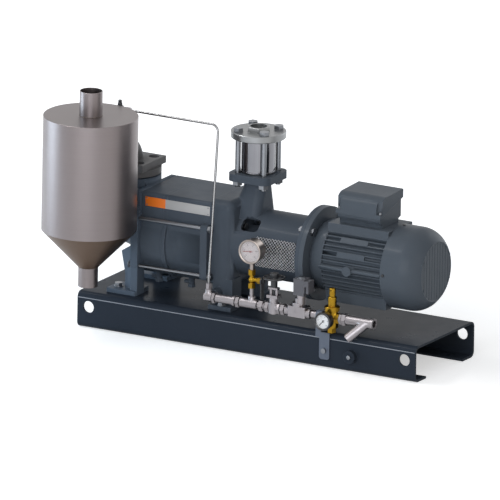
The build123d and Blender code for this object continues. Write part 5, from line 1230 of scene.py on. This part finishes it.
@dataclass
class Skid(Assembly):
    """Folded base frame with its bolts and the line's bracket.

    Attributes:
        boss_x: Place of the bonding boss along the base.
        boss_z: Height of the bonding boss.
        boss_reach: How far the boss stands in front of the base.
        boss_sink: How deep the screw's head sits in the boss.
        boss_screw: Head of the bonding screw.
        length: Length of the base.
        height: Height of the base.
        bend: Outer radius of the folded edges.
        fold_angles: Steps over the part of the fold that carries the painted highlight, in degrees.
        fold_lift: How far the painted highlight's skin stands off the fold.
        fold_sink: How far its back lies under the fold's face.
        fold_gap: Length left without the painted highlight at each end.
    """

    boss_x: float = 824.0
    boss_z: float = 45.0
    boss_reach: float = 16.0
    boss_sink: float = 1.5
    boss_screw: Head = Head(6.0, 5.0, 9.0)
    length: float = 1015.0
    height: float = 97.0
    bend: float = 16.5
    fold_angles: Sequence[float] = (82.0, 85.0, 88.0, 90.0)
    fold_lift: float = 0.08
    fold_sink: float = 0.3
    fold_gap: float = 2.0

    def build(self) -> None:
        """Dresses the frame, the bolts and the bracket, and adds the bonding screw and the painted highlight
        on the fold.
        """
        skin_node("base_frame", Finishes.base)
        skin_node("base_bolts", Finishes.zinc)
        skin_node("line_bracket", Finishes.strap)
        foot = at(self.boss_x, -self.boss_reach + self.boss_sink, self.boss_z)
        extra("bonding_screw", [self.boss_screw.row([foot], Way.FRONT, Finishes.zinc)], [Finishes.zinc])
        self._painted_highlight_fold()

    def _painted_highlight_fold(self) -> None:
        """Painted highlight: a light line along the whole length where the front fold meets the flat front, in
        place of the fold's reflection.
        """
        arc = [math.radians(angle) for angle in self.fold_angles]
        rows = [(self.bend + self.fold_lift, arc), (self.bend - self.fold_sink, arc[::-1])]
        outline = [
            (self.height - self.bend + reach * math.cos(angle), self.bend - reach * math.sin(angle))
            for reach, angles in rows for angle in angles
        ]
        turn = Matrix(((0, 0, 1), (0, 1, 0), (1, 0, 0))).to_4x4()
        start = Matrix.Translation(at(self.fold_gap, 0.0, 0.0))
        skin = prism(outline, self.length - 2 * self.fold_gap, start @ turn)
        extra("painted_highlight_fold", [skin], [Finishes.painted_highlight])


@dataclass
class PumpEnd(Assembly):
    """Casings, covers and the parts inside them.

    Attributes:
        strip_left: Left end of the bare strip on the casing's front.
        strip_right: Right end of the strip.
        strip_low: Lower edge of the strip.
        strip_high: Upper edge of the strip.
        strip_split: Where the strip changes from orange to gray.
        channel_front: Front face of the casing's flat channel.
        guard_left: Left end of the guard's opening.
        guard_length: Length of the opening.
        guard_radius: Radius of the guard's outer face.
        guard_columns: Meshes along the guard.
        guard_rows: Half rows of meshes round the guard.
        mesh_length: Length of one mesh.
        mesh_height: Height of one mesh.
        strand: Radius of the strands.
        strip_lift: How far the strip stands off the casing.
        strip_sink: How deep the strip's back lies in the casing.
        strip_round: Width of the strip's broken edges.
        rivet: Head of a rivet.
        rivet_side: Distance of the rivets from the strip's ends.
        rivet_edge: Distance of the rivets from its long edges.
    """

    strip_left: float = 164.5
    strip_right: float = 358.0
    strip_low: float = 340.0
    strip_high: float = 365.0
    strip_split: float = 224.6
    channel_front: float = 61.5
    guard_left: float = 493.0
    guard_length: float = 117.0
    guard_radius: float = 92.3
    guard_columns: int = 13
    guard_rows: int = 17
    mesh_length: float = 9.0
    mesh_height: float = 9.2
    strand: float = 0.62
    strip_lift: float = 1.0
    strip_sink: float = 0.2
    strip_round: float = 0.3
    rivet: Head = Head(1.7, 1.2, 1.7, 12)
    rivet_side: float = 5.0
    rivet_edge: float = 4.0

    def build(self) -> None:
        """Dresses the castings and what turns in them, and adds the strip and the guards."""
        for node in ("discharge_cover", "bearing_cap"):
            skin_node(node, Finishes.cover)
        for node in ("second_stage_casing", "center_plate", "first_stage_casing", "suction_housing"):
            skin_node(node, Finishes.pump)
        skin_node("tie_rods", Finishes.zinc)
        for node in ("first_impeller", "second_impeller", "pump_coupling_half", "motor_coupling_half"):
            tint_node(node, Finishes.inner)
        tint_node("pump_shaft", Finishes.shaft)
        tint_node("ball_bearings", Finishes.bearing)
        tint_node("shaft_seal", Finishes.seal)
        tint_node("coupling_spider", Finishes.spider)
        self._guards()
        self._strip()

    def _guards(self) -> None:
        """Expanded-metal guards over the lantern's two side openings."""
        skin_node("coupling_guards", Finishes.black)
        meshes = []
        for way, turn in ((Way.FRONT, 90.0), (Way.BACK, -90.0)):
            sheet = pattern(PATTERNS.lattice, Finishes.strand, {
                "Columns": self.guard_columns, "Rows": self.guard_rows, "Pitch X": self.mesh_length / 1000,
                "Pitch Y": self.mesh_height / 1000, "Radius": self.guard_radius / 1000,
                "Strand": self.strand / 1000,
            })
            middle = at(self.guard_left + self.guard_length / 2, SHAFT_Y, SHAFT_Z)
            sheet.transform(Matrix.Translation(middle) @ Matrix.Rotation(math.radians(turn), 4, "X"))
            LOG.info("guard sheet faces %s", way.name)
            meshes.append(sheet)
        extra("guard_lattice", meshes, [Finishes.strand])

    def _strip(self) -> None:
        """Bare two-colour strip with four small rivets on the casing's front."""
        face = self.channel_front - self.strip_lift
        back = self.channel_front + self.strip_sink
        ends = (self.strip_left, self.strip_split, self.strip_right)
        halves = [
            plate(at(left, face, self.strip_low), at(right, back, self.strip_high), self.strip_round / 1000)
            for left, right in zip(ends, ends[1:])
        ]
        corners = [
            at(x, face, z)
            for x in (self.strip_left + self.rivet_side, self.strip_right - self.rivet_side)
            for z in (self.strip_low + self.rivet_edge, self.strip_high - self.rivet_edge)
        ]
        rivets = self.rivet.row(corners, Way.FRONT, Finishes.zinc)
        extra("casing_strip", [*halves, rivets], [Finishes.orange, Finishes.gray, Finishes.zinc])


@dataclass
class Motor(Assembly):
    """Flange motor with its terminal box.

    Attributes:
        lid_left: Left end of the terminal box's lid.
        lid_right: Right end of the lid.
        lid_front: Front of the lid.
        lid_split: Height of the joint between box and lid at the front.
        cowl_left: Left edge of the fan cowl.
        cowl_radius: Outer radius of the cowl.
        cowl_straight: Length of the cowl's straight part.
        dome_radius: Radius of the cowl's round shoulder.
        dome_turn: Angle over which the shoulder turns, in degrees.
        cowl_length: Length of the cowl.
        cowl_sheet: Thickness of the cowl's sheet.
        grille_radius: Radius of the round air inlet.
        lip_step: How far the cowl's flat end stands over the inlet's rim.
        lip_depth: Depth of the inlet's wall behind the cowl's end.
        lip_width: Width of the inlet's rim.
        back_sheet: Thickness of the dark back.
        slat_reach: How far the slats reach short of the inlet's radius.
        back_depth: Depth of the dark back's face behind the cowl's end.
        back_reach: How far the back reaches short of the inlet's radius.
        slat_count: Number of slats in the inlet.
        slat_pitch: Distance between two slats.
        slat_gap: Air between two slats.
        slat_sheet: Thickness of a slat.
        slat_depth: Depth of the slats' middle behind the cowl's end.
        cowl_screw: Head of a cowl screw.
        cowl_screw_x: Distance of the screws from the cowl's left edge.
        cowl_screw_sink: How deep the heads sit in the cowl.
        lid_screw: Head of a lid screw.
        lid_screw_side: Distance of the lid's screws from its ends.
        lid_screw_back: Distance of the lid's screws from its front.
        lid_screw_lift: Height of the screws' feet over the lid's joint.
    """

    lid_left: float = 715.0
    lid_right: float = 849.0
    lid_front: float = 96.5
    lid_split: float = 395.0
    cowl_left: float = 878.0
    cowl_radius: float = 111.5
    cowl_straight: float = 50.0
    dome_radius: float = 66.77
    dome_turn: float = 54.0
    cowl_length: float = 107.0
    cowl_sheet: float = 3.0
    grille_radius: float = 80.0
    lip_step: float = 0.6
    lip_depth: float = 4.5
    lip_width: float = 3.0
    back_sheet: float = 2.0
    slat_reach: float = 2.0
    back_depth: float = 2.4
    back_reach: float = 2.9
    slat_count: int = 11
    slat_pitch: float = 14.0
    slat_gap: float = 2.0
    slat_sheet: float = 1.6
    slat_depth: float = 1.7
    cowl_screw: Head = Head(4.2, 3.0, 4.4, 12)
    cowl_screw_x: float = 9.0
    cowl_screw_sink: float = 0.3
    lid_screw: Head = Head(4.0, 6.0, 4.6, 12)
    lid_screw_side: float = 6.0
    lid_screw_back: float = 9.0
    lid_screw_lift: float = 12.0

    def build(self) -> None:
        """Dresses the motor's housing and its inner parts, and builds the cowl and its screws."""
        for node in ("motor_flange", "stator_housing", "terminal_box", "terminal_box_lid"):
            skin_node(node, Finishes.motor)
        self._cowl()
        skin_node("flange_bolts", Finishes.zinc)
        tint_node("stator_core", Finishes.core)
        tint_node("motor_rotor", Finishes.shaft)
        tint_node("rear_end_shield", Finishes.motor)
        tint_node("cooling_fan", Finishes.fan)
        self._cowl_screws()
        self._lid_screws()

    def _dome(self, inset: float) -> list[tuple[float, float]]:
        """Profile of the cowl's straight part and shoulder.

        Args:
            inset: How far the profile is moved in, in millimetres.

        Returns:
            Points of distance along the axis and radius, in millimetres.
        """
        radius = self.dome_radius - inset
        outer = self.cowl_radius - inset
        turns = [math.radians(self.dome_turn) * step / DOME_STEPS for step in range(DOME_STEPS + 1)]
        return [(0.0, outer)] + [
            (self.cowl_straight + radius * math.sin(turn), outer - radius * (1 - math.cos(turn)))
            for turn in turns
        ]

    def _cowl(self) -> None:
        """Fan cowl: turned sheet with a round inlet of upright slats in front of a dark back."""
        middle = at(self.cowl_left, SHAFT_Y, SHAFT_Z)
        end = self.cowl_length
        rim = self.grille_radius
        hole = rim - self.lip_width
        lip = [(end - 0.4, rim + self.lip_step), (end, rim), (end, hole + self.lip_step), (end - 0.5, hole),
               (end - self.lip_depth, hole)]
        profile = [*self._dome(0.0), *lip, *reversed(self._dome(self.cowl_sheet))]
        shell = lathe(profile, middle, Way.RIGHT, FINE_STEPS, loop=True)
        reach = rim - self.back_reach
        face = end - self.back_depth
        rear = face - self.back_sheet
        back = lathe([(rear, 0.0), (rear, reach), (face, reach), (face, 0.0)], middle, Way.RIGHT)
        slats = pattern(PATTERNS.slats, Finishes.motor, {
            "Count": self.slat_count, "Pitch": self.slat_pitch / 1000,
            "Radius": (rim - self.slat_reach) / 1000, "Width": (self.slat_pitch - self.slat_gap) / 1000,
            "Thickness": self.slat_sheet / 1000,
        })
        upright = Matrix(((0, 0, 1), (1, 0, 0), (0, 1, 0))).to_4x4()
        slats.transform(Matrix.Translation(middle + Vector(((end - self.slat_depth) / 1000, 0, 0))) @ upright)
        piece = shown("fan_cowl_shell", merged([shell, back, slats], [0, 0, 0]), [Finishes.motor])
        settle(piece, "frame", "motor_paint", ["fan_cowl"])

    def _cowl_screws(self) -> None:
        """Four screws that hold the cowl on the rear shield's ears."""
        axis = at(self.cowl_left + self.cowl_screw_x, SHAFT_Y, SHAFT_Z)
        reach = (self.cowl_radius - self.cowl_screw_sink) / 1000
        extra("cowl_screws", [
            self.cowl_screw.row([axis + reach * way.vector], way, Finishes.black)
            for way in (Way.FRONT, Way.BACK, Way.UP, Way.DOWN)
        ], [Finishes.black])

    def _lid_screws(self) -> None:
        """Screws in the lid's two front corners."""
        feet = [
            at(x, self.lid_front + self.lid_screw_back, self.lid_split + self.lid_screw_lift)
            for x in (self.lid_left + self.lid_screw_side, self.lid_right - self.lid_screw_side)
        ]
        extra("lid_screws", [self.lid_screw.row(feet, Way.UP, Finishes.zinc)], [Finishes.zinc])


@dataclass
class CheckValve(Assembly):
    """Non-return valve on the suction neck.

    Attributes:
        hub_top: Height of the hub's flat top.
        bore_radius: Radius of the bore.
        thread_start: Depth of the thread's start under the top.
        thread_length: Length of the thread.
        thread_pitch: Distance between two crests.
        crest: Radius of one crest.
        crest_lift: How far the crests' middle stands out of the bore's wall.
    """

    hub_top: float = 576.0
    bore_radius: float = 22.2
    thread_start: float = 20.0
    thread_length: float = 18.0
    thread_pitch: float = 2.3
    crest: float = 0.7
    crest_lift: float = 0.1

    def build(self) -> None:
        """Dresses the valve's tube, flange, rods and inner parts, and adds the bore's thread."""
        skin_node("valve_tube", Finishes.polished)
        skin_node("valve_flange", Finishes.flange)
        skin_node("valve_rods", Finishes.zinc)
        tint_node("valve_disc", Finishes.flange)
        tint_node("valve_cage", Finishes.flange)
        start = at(NECK_X, SHAFT_Y, self.hub_top - self.thread_start)
        crests = thread(start, Way.UP, self.thread_length, self.bore_radius - self.crest_lift,
                        Finishes.flange, self.thread_pitch, self.crest)
        extra("valve_bore_thread", [crests], [Finishes.flange])


@dataclass
class DischargeStack(Assembly):
    """Flanges and elbow on the discharge tower.

    Attributes:
        plate_top: Height of the square plate's top.
        pipe_radius: Radius of the elbow's pipe.
        elbow_z: Height of the elbow's level run.
        tank_back: Where the tank's back wall is.
        bead: Radius of a weld bead.
    """

    plate_top: float = 434.0
    pipe_radius: float = 24.15
    elbow_z: float = 472.0
    tank_back: float = 49.0
    bead: float = 2.2

    def build(self) -> None:
        """Dresses the flanges, the elbow and the gaskets, and adds the welds."""
        for node in ("discharge_flange", "discharge_elbow"):
            skin_node(node, Finishes.stack)
        skin_node("discharge_bolts", Finishes.zinc)
        skin_node("flange_gaskets", Finishes.gasket)
        rings = ((SHAFT_Y, self.plate_top, Way.UP, 3), (self.tank_back, self.elbow_z, Way.BACK, 4))
        extra("elbow_weld", [
            weld_ring(at(TANK_X, y, z), way, self.pipe_radius, self.bead, Finishes.stack, seed)
            for y, z, way, seed in rings
        ], [Finishes.stack])


@dataclass
class Separator(Assembly):
    """Sheet-metal tank and the balance tube.

    Attributes:
        radius: Outer radius of the tank.
        top: Height of the flat top.
        bottom: Height where the cone begins.
        cone_bottom: Height where the drain stub begins.
        outlet_radius: Radius of the outlet stub.
        drain_radius: Radius of the drain stub.
        outlet_top: Height of the outlet's open end.
        drain_bottom: Height of the drain's open end.
        wall: Thickness of the sheet.
        top_edge: Width of the broken edge round the top.
        lip_outer: Width of the broken outer edge of the outlet.
        lip_inner: Width of its broken inner edge.
        seam_sink: How far the beads of the seam at the cone lie under the tank's radius.
        plug_x: Place of the vent's plug, from the tank's middle to the right.
        plug_back: Distance of the plug behind the tank.
        plug_drop: Depth of the plug's foot under the tank's top.
        plug_hex: Hexagon of the plug.
        plug_cap: Round cap on the hexagon.
        plug_sink: How deep the hexagon sits in the fitting.
        cap_lift: Height of the cap over the plug's foot.
    """

    radius: float = 125.0
    top: float = 603.0
    bottom: float = 294.0
    cone_bottom: float = 192.0
    outlet_radius: float = 30.15
    drain_radius: float = 26.0
    outlet_top: float = 670.0
    drain_bottom: float = 140.0
    wall: float = 2.0
    top_edge: float = 0.7
    lip_outer: float = 0.5
    lip_inner: float = 0.4
    seam_sink: float = 0.95
    plug_x: float = 8.0
    plug_back: float = 16.0
    plug_drop: float = 6.0
    plug_hex: Head = Head(7.0, 9.0, 7.6)
    plug_cap: Head = Head(5.0, 8.0, 5.4, 12)
    plug_sink: float = 0.5
    cap_lift: float = 8.0

    def build(self) -> None:
        """Dresses the tank, the cone and the tube, and adds the welds."""
        self._sheet()
        skin_node("balance_tube", Finishes.tube)
        skin_node("tube_fittings", Finishes.line)
        rings = (
            (self.bottom, self.radius - self.seam_sink, 0.7), (self.top + 0.4, self.outlet_radius, 1.1),
            (self.cone_bottom, self.drain_radius, 1.0),
        )
        meshes = [
            weld_ring(at(TANK_X, TANK_Y, height), Way.UP, radius, size, Finishes.weld, order)
            for order, (height, radius, size) in enumerate(rings)
        ]
        extra("tank_welds", meshes, [Finishes.weld])
        self._vent()

    def _sheet(self) -> None:
        """Tank with its outlet, and the cone with its drain stub, turned from their sheet profiles."""
        middle = at(TANK_X, TANK_Y, 0.0)
        wall = self.wall
        inner = self.outlet_radius - wall
        edge, outer_lip, inner_lip = self.top_edge, self.lip_outer, self.lip_inner
        shell = lathe([
            (self.bottom, self.radius), (self.top - edge, self.radius), (self.top, self.radius - edge),
            (self.top, self.outlet_radius), (self.outlet_top - outer_lip, self.outlet_radius),
            (self.outlet_top, self.outlet_radius - outer_lip), (self.outlet_top, inner + inner_lip),
            (self.outlet_top - inner_lip, inner), (self.top - wall, inner),
            (self.top - wall, self.radius - wall), (self.bottom, self.radius - wall),
        ], middle, Way.UP, SHEET_STEPS, loop=True)
        piece = shown("tank_sheet", shell, [Finishes.tank])
        settle(piece, "frame", "stainless", ["separator_shell"])
        inner = self.drain_radius - wall
        cone = lathe([
            (self.bottom, self.radius), (self.cone_bottom, self.drain_radius), (self.cone_bottom, inner),
            (self.bottom, self.radius - 1.3 * wall),
        ], middle, Way.UP, SHEET_STEPS, loop=True)
        stub = lathe([
            (self.cone_bottom, self.drain_radius), (self.drain_bottom, self.drain_radius),
            (self.drain_bottom, inner), (self.cone_bottom, inner),
        ], middle, Way.UP, loop=True)
        # The cone carries the painted shade; the drain stub keeps the tank's stainless.
        piece = shown("tank_cone_sheet", merged([cone, stub], [0, 1]), [Finishes.cone, Finishes.tank])
        settle(piece, "frame", "stainless", ["separator_cone"])

    def _vent(self) -> None:
        """Small dark plug on top of the tube's fitting behind the tank."""
        back = TANK_Y + self.radius + self.plug_back
        foot = self.top - self.plug_drop
        parts = ((self.plug_hex, foot - self.plug_sink), (self.plug_cap, foot + self.cap_lift))
        extra("tube_vent_plug", [
            head.row([at(TANK_X + self.plug_x, back, z)], Way.UP, Finishes.black) for head, z in parts
        ], [Finishes.black])


@dataclass
class Gauge:
    """Round pressure gauge that faces the front.

    Attributes:
        name: Name of the gauge's pieces.
        x: Place along the base.
        z: Height of the middle.
        front: Depth of the case's front edge.
        radius: Outer radius of the case.
        recess: Depth of the dial behind the front edge.
        finish: Finish of the case.
        dial: Finish of the dial.
        digits: Numbers round the dial.
        bezel: Width of the case's ring round the dial.
        sweep: Angle over which the numbers run, in degrees.
        steps: Number of steps on the scale.
        first_tick: Angle of the scale's first line, in radians.
        tick_sweep: Angle over which the lines run, in radians.
        tick_reach: Outer end of the lines, as a share of the dial's radius.
        tick_length: Length of a long line, as a share of it.
        tick_width: Width of a long line, as a share of it.
        tick_lift: Height of the lines over the dial.
        digit_size: Size of the numbers, as a share of the case's radius.
        digit_reach: Distance of the numbers from the middle, as a share of it.
        digit_lift: Height of the numbers over the dial.
    """

    name: str
    x: float
    z: float
    front: float
    radius: float
    recess: float
    finish: Finish
    dial: Finish
    digits: Sequence[str]
    bezel: float = 4.0
    sweep: float = 270.0
    steps: int = 25
    first_tick: float = -2.356
    tick_sweep: float = 4.712
    tick_reach: float = 0.86
    tick_length: float = 0.16
    tick_width: float = 0.024
    tick_lift: float = 0.2
    digit_size: float = 0.2
    digit_reach: float = 0.53
    digit_lift: float = 0.35

    def build(self) -> None:
        """Builds the dial with its marks, and the rounded ring round the glass."""
        middle = at(self.x, self.front, self.z)
        inner = self.radius - self.bezel
        face = at(self.x, self.front + self.recess, self.z)
        rim = inner - 0.2
        disc = lathe([(0.05, 0.0), (0.05, rim), (-0.25, rim), (-0.25, 0.0)], face, Way.FRONT, 72)
        scale = pattern(PATTERNS.ticks, Finishes.ink, {
            "Count": self.steps + 1, "Radius": inner * self.tick_reach / 1000, "Start": self.first_tick,
            "Step": self.tick_sweep / self.steps, "Length": inner * self.tick_length / 1000,
            "Every": self.steps // (len(self.digits) - 1), "Width": inner * self.tick_width / 1000,
        })
        scale.transform(self._dial_frame(self.recess - self.tick_lift))
        marks = [self._digit(order) for order in range(len(self.digits))]
        outer = self.radius + 0.1
        ring = lathe([
            (-1.0, inner - 0.6), (0.6, inner - 1.4), (1.6, inner + 0.4), (1.9, self.radius - 2.0),
            (1.2, self.radius - 0.3), (-0.6, outer), (-4.0, outer), (-4.0, inner - 0.6),
        ], middle, Way.FRONT, loop=True)
        rim = inner - 0.7
        glass = lathe([(-0.9, 0.0), (-0.9, rim), (-0.2, rim), (0.3, inner * 0.5), (0.4, 0.0)],
                      middle, Way.FRONT, 64)
        extra(f"{self.name}_dial", [disc, scale, *marks], [self.dial, *[Finishes.ink] * (1 + len(marks))])
        extra(f"{self.name}_ring", [ring], [self.finish])
        extra(f"{self.name}_glass", [glass], [Finishes.glass])

    def _dial_frame(self, depth: float) -> Matrix:
        """Matrix that lays a drawing, seen from +Z, on the dial at a depth behind the front."""
        turn = Matrix.Rotation(math.radians(90), 4, "X")
        return Matrix.Translation(at(self.x, self.front + depth, self.z)) @ turn

    def _digit(self, order: int) -> Mesh:
        """One number of the dial's scale.

        Args:
            order: Place of the number on the scale.

        Returns:
            The number's mesh.
        """
        letters = bpy.data.curves.new("digit", "FONT")
        letters.body = self.digits[order]
        letters.size = self.radius * self.digit_size / 1000
        letters.align_x = letters.align_y = "CENTER"
        letters.resolution_u = 2
        holder = bpy.data.objects.new("digit", letters)
        made = bpy.data.meshes.new_from_object(holder)
        bpy.data.objects.remove(holder)
        bpy.data.curves.remove(letters)
        angle = math.radians(self.sweep * (order / (len(self.digits) - 1) - 0.5))
        reach = self.radius * self.digit_reach / 1000
        spot = Matrix.Translation((math.sin(angle) * reach, math.cos(angle) * reach, 0.0))
        made.transform(self._dial_frame(self.recess - self.digit_lift) @ spot)
        return made


@dataclass
class ServiceLine(Assembly):
    """Service liquid line with its valves and gauges.

    Attributes:
        joints: Where pipes enter fittings along the line.
        pipe_radius: Radius of the line's pipe.
        coil_x: Middle of the coil.
        coil_top: Height of the coil's top.
        regulator_x: Middle of the regulator.
        thread_length: Length of thread that shows at a joint.
        gap_shadow_length: Width of the dark ring, a painted shadow of the joint's gap.
        gap_shadow_lift: How far the dark ring stands over the pipe.
        gap_shadow_crest: Radius of the dark ring's cord.
        nut_sink: How deep the nut sits in the coil's top.
        plug_side: Distance of the plug's screw from the coil's middle.
        plug_front: How far that screw lies in front of the line's middle.
        plug_drop: Depth of its foot under the coil's top.
        coil_nut: Nut on the coil.
        plug_screw: Screw of the coil's plug.
    """

    joints: Sequence[float] = (
        402.0, 412.0, 472.5, 484.5, 537.0, 560.5, 607.5, 620.5, 698.5, 733.5, 784.5, 791.5,
    )
    pipe_radius: float = 10.65
    coil_x: float = 666.0
    coil_top: float = 231.0
    regulator_x: float = 759.0
    thread_length: float = 5.4
    gap_shadow_length: float = 1.8
    gap_shadow_lift: float = 0.3
    gap_shadow_crest: float = 0.8
    nut_sink: float = 0.5
    plug_side: float = 25.0
    plug_front: float = 1.0
    plug_drop: float = 4.0
    coil_nut: Head = Head(10.0, 5.0, 12.0)
    plug_screw: Head = Head(3.4, 2.6, 3.4, 12)

    def build(self) -> None:
        """Dresses the line's fittings, valves and gauges, and adds threads and dials."""
        for node in ("line_fittings", "stop_valve_body", "solenoid_body", "strainer_body", "strainer_cap"):
            skin_node(node, Finishes.line)
        for node in ("gauge_cock", "regulator_body", "regulator_screw"):
            skin_node(node, Finishes.brass)
        for node in ("cock_lever", "handwheel"):
            skin_node(node, Finishes.black)
        for node, finish in (
            ("gauge_case", Finishes.bezel), ("regulator_gauge", Finishes.case),
            ("solenoid_coil", Finishes.coil), ("gauge_pointer", Finishes.red),
            ("regulator_pointer", Finishes.ink),
        ):
            skin_node(node, finish)
        tint_node("stop_valve_plug", Finishes.brass)
        tint_node("solenoid_plunger", Finishes.shaft)
        tint_node("strainer_screen", Finishes.flange)
        self._threads()
        self._coil()
        for gauge in self._gauges():
            gauge.build()

    def _threads(self) -> None:
        """Threads, and dark rings that paint the shadow in the gaps where the pipes enter their fittings."""
        meshes: list[Mesh] = []
        finishes: list[Finish] = []
        pitch = self.gap_shadow_length
        for x in self.joints:
            meshes.append(thread(at(x - pitch, LINE_Y, LINE_Z), Way.RIGHT, self.thread_length,
                                 self.pipe_radius, Finishes.line))
            # Dark ring at the joint: painted shadow of the gap.
            meshes.append(thread(at(x, LINE_Y, LINE_Z), Way.RIGHT, self.gap_shadow_length,
                                 self.pipe_radius + self.gap_shadow_lift, Finishes.dark, pitch, self.gap_shadow_crest))
            finishes += [Finishes.line, Finishes.dark]
        extra("line_threads", meshes, finishes)

    def _coil(self) -> None:
        """Nut on the coil, and the screw of its plug."""
        middle = at(self.coil_x, LINE_Y, self.coil_top - self.nut_sink)
        side = at(self.coil_x + self.plug_side, LINE_Y - self.plug_front, self.coil_top - self.plug_drop)
        extra("coil_nut", [
            head.row([foot], Way.UP, Finishes.zinc)
            for head, foot in ((self.coil_nut, middle), (self.plug_screw, side))
        ], [Finishes.zinc])

    def _gauges(self) -> tuple[Gauge, Gauge]:
        """Sizes and finishes of the line's gauges.

        Returns:
            The large gauge on its cock and the small one on the regulator.
        """
        numbers = ("0", "2", "4", "6", "8", "10")
        return (
            Gauge("large_gauge", x=517.0, z=283.0, front=LINE_Y - 15.0, radius=33.0, recess=4.0,
                  finish=Finishes.bezel, dial=Finishes.dial, digits=numbers),
            Gauge("small_gauge", x=self.regulator_x, z=LINE_Z, front=LINE_Y - 52.0, radius=24.5, recess=4.0,
                  finish=Finishes.case, dial=Finishes.dial_white, digits=numbers),
        )


@dataclass
class Studio(Assembly):
    """Floor, lamps, world and camera.

    Attributes:
        right: Camera's right in the row frame.
        up: Camera's up in the row frame.
        width: Width of the picture in metres.
        aim: Point at the middle of the picture.
        distance: Distance of the camera from that point, in metres.
        lamp_aim: Point that every lamp looks at, in metres of the row frame.
        floor_half: Half the side of the floor, in metres.
        floor_drop: Depth of the floor under the base, in metres.
        floor_near: Glow of the floor under the package.
        floor_far: Glow of the floor far from it.
        glow_near: Distance at which the glow begins to grow, in metres.
        glow_far: Distance at which it is full, in metres.
        ambient: Strength of the ambient light.
    """

    right: Point = (0.8703, 0.4922, 0.0168)
    up: Point = (-0.1467, 0.2264, 0.9629)
    width: float = 1.3075
    aim: Point = (426.5, 156.9, 236.1)
    distance: float = 4.0
    lamp_aim: Point = (0.0, 0.1, 0.3)
    floor_half: float = 14.0
    floor_drop: float = 0.0005
    floor_near: float = 0.5
    floor_far: float = 0.9
    glow_near: float = 0.7
    glow_far: float = 2.0
    ambient: float = 0.26

    def build(self) -> None:
        """Sets the floor, the lamps, the world and the camera."""
        self._floor()
        self._lamps()
        self._world()
        self._camera()
        bpy.context.scene.view_settings.view_transform = "Standard"

    def _camera(self) -> None:
        """Camera without perspective at the photograph's angle."""
        data = bpy.data.cameras.new("camera")
        data.type = "ORTHO"
        data.ortho_scale = self.width
        data.clip_end = 50.0
        camera = linked("camera", data)
        right = Vector(self.right).normalized()
        back = right.cross(Vector(self.up)).normalized()
        up = back.cross(right)
        turn = Matrix((right, up, back)).transposed().to_4x4()
        camera.matrix_world = Matrix.Translation(at(*self.aim) + back * self.distance) @ turn
        bpy.context.scene.camera = camera

    def _floor(self) -> None:
        """Large pale floor that keeps the package's shadow."""
        build = bmesh.new()
        bmesh.ops.create_grid(build, x_segments=1, y_segments=1, size=self.floor_half)
        mesh = plain_mesh(build, outward=False)
        mesh.name = "floor"
        floor = linked("floor", mesh)
        floor.location.z = -self.floor_drop
        made = bpy.data.materials.new("floor_white")
        w = fresh(made)
        diffuse = w.add("ShaderNodeBsdfDiffuse", {"Color": (0.8, 0.8, 0.8, 1.0)})
        place = w.add("ShaderNodeTexCoord").outputs["Object"]
        away = w.vector_math("LENGTH", place)["Value"]
        strength = w.ramp(away, self.glow_near, self.glow_far, self.floor_near, self.floor_far)
        glow = w.add("ShaderNodeEmission", {"Color": WHITE, "Strength": strength})
        lit = w.add("ShaderNodeAddShader", {0: diffuse.outputs[0], 1: glow.outputs[0]})
        mixed = w.add("ShaderNodeMixShader", {0: w.seen(), 1: diffuse.outputs[0], 2: lit.outputs[0]})
        w.add("ShaderNodeOutputMaterial", {"Surface": mixed.outputs[0]})
        mesh.materials.append(made)

    def _lamps(self) -> None:
        """Soft lamps at the left, in front and behind, a weak warm one at the right, a narrow one above."""
        rows = (
            ("left_softbox", (-2.5, -0.8, 0.7), (1.2, 1.6), 46.0, (0.68, 0.86, 1.0)),
            ("front_softbox", (0.7, -3.2, 1.3), (2.4, 2.0), 56.0, (0.93, 0.96, 1.0)),
            ("top_strip", (-1.2, -0.75, 2.3), (1.8, 0.12), 20.0, (1.0, 0.99, 0.98)),
            ("back_softbox", (1.2, 2.8, 1.4), (2.0, 2.0), 22.0, (0.9, 0.95, 1.0)),
            ("right_softbox", (2.6, -1.0, 1.3), (1.6, 1.6), 10.0, (1.0, 0.9, 0.8)),
        )
        for name, place, size, power, color in rows:
            data = bpy.data.lights.new(name, "AREA")
            data.shape = "RECTANGLE"
            data.size, data.size_y = size
            data.energy = power
            data.color = color
            lamp = linked(name, data)
            lamp.location = place
            aim = Vector(self.lamp_aim) - Vector(place)
            lamp.rotation_euler = aim.to_track_quat("-Z", "Y").to_euler()

    def _world(self) -> None:
        """Even ambient light that looks white behind the package."""
        world = bpy.data.worlds.new("studio")
        bpy.context.scene.world = world
        w = fresh(world)
        dim = w.add("ShaderNodeBackground", {"Color": (0.93, 0.96, 1.0, 1.0), "Strength": self.ambient})
        bright = w.add("ShaderNodeBackground", {"Color": WHITE, "Strength": 1.0})
        mixed = w.add("ShaderNodeMixShader", {0: w.seen(), 1: dim.outputs[0], 2: bright.outputs[0]})
        w.add("ShaderNodeOutputWorld", {"Surface": mixed.outputs[0]})


def main() -> None:
    """Builds the package in order, then the studio."""
    logging.basicConfig(level=logging.INFO, format="%(message)s")
    for assembly in (Skid(), PumpEnd(), Motor(), CheckValve(), DischargeStack(), Separator(), ServiceLine(),
                     Studio()):
        assembly.build()
        LOG.info("built %s", type(assembly).__name__)


if __name__ == "__main__":
    main()
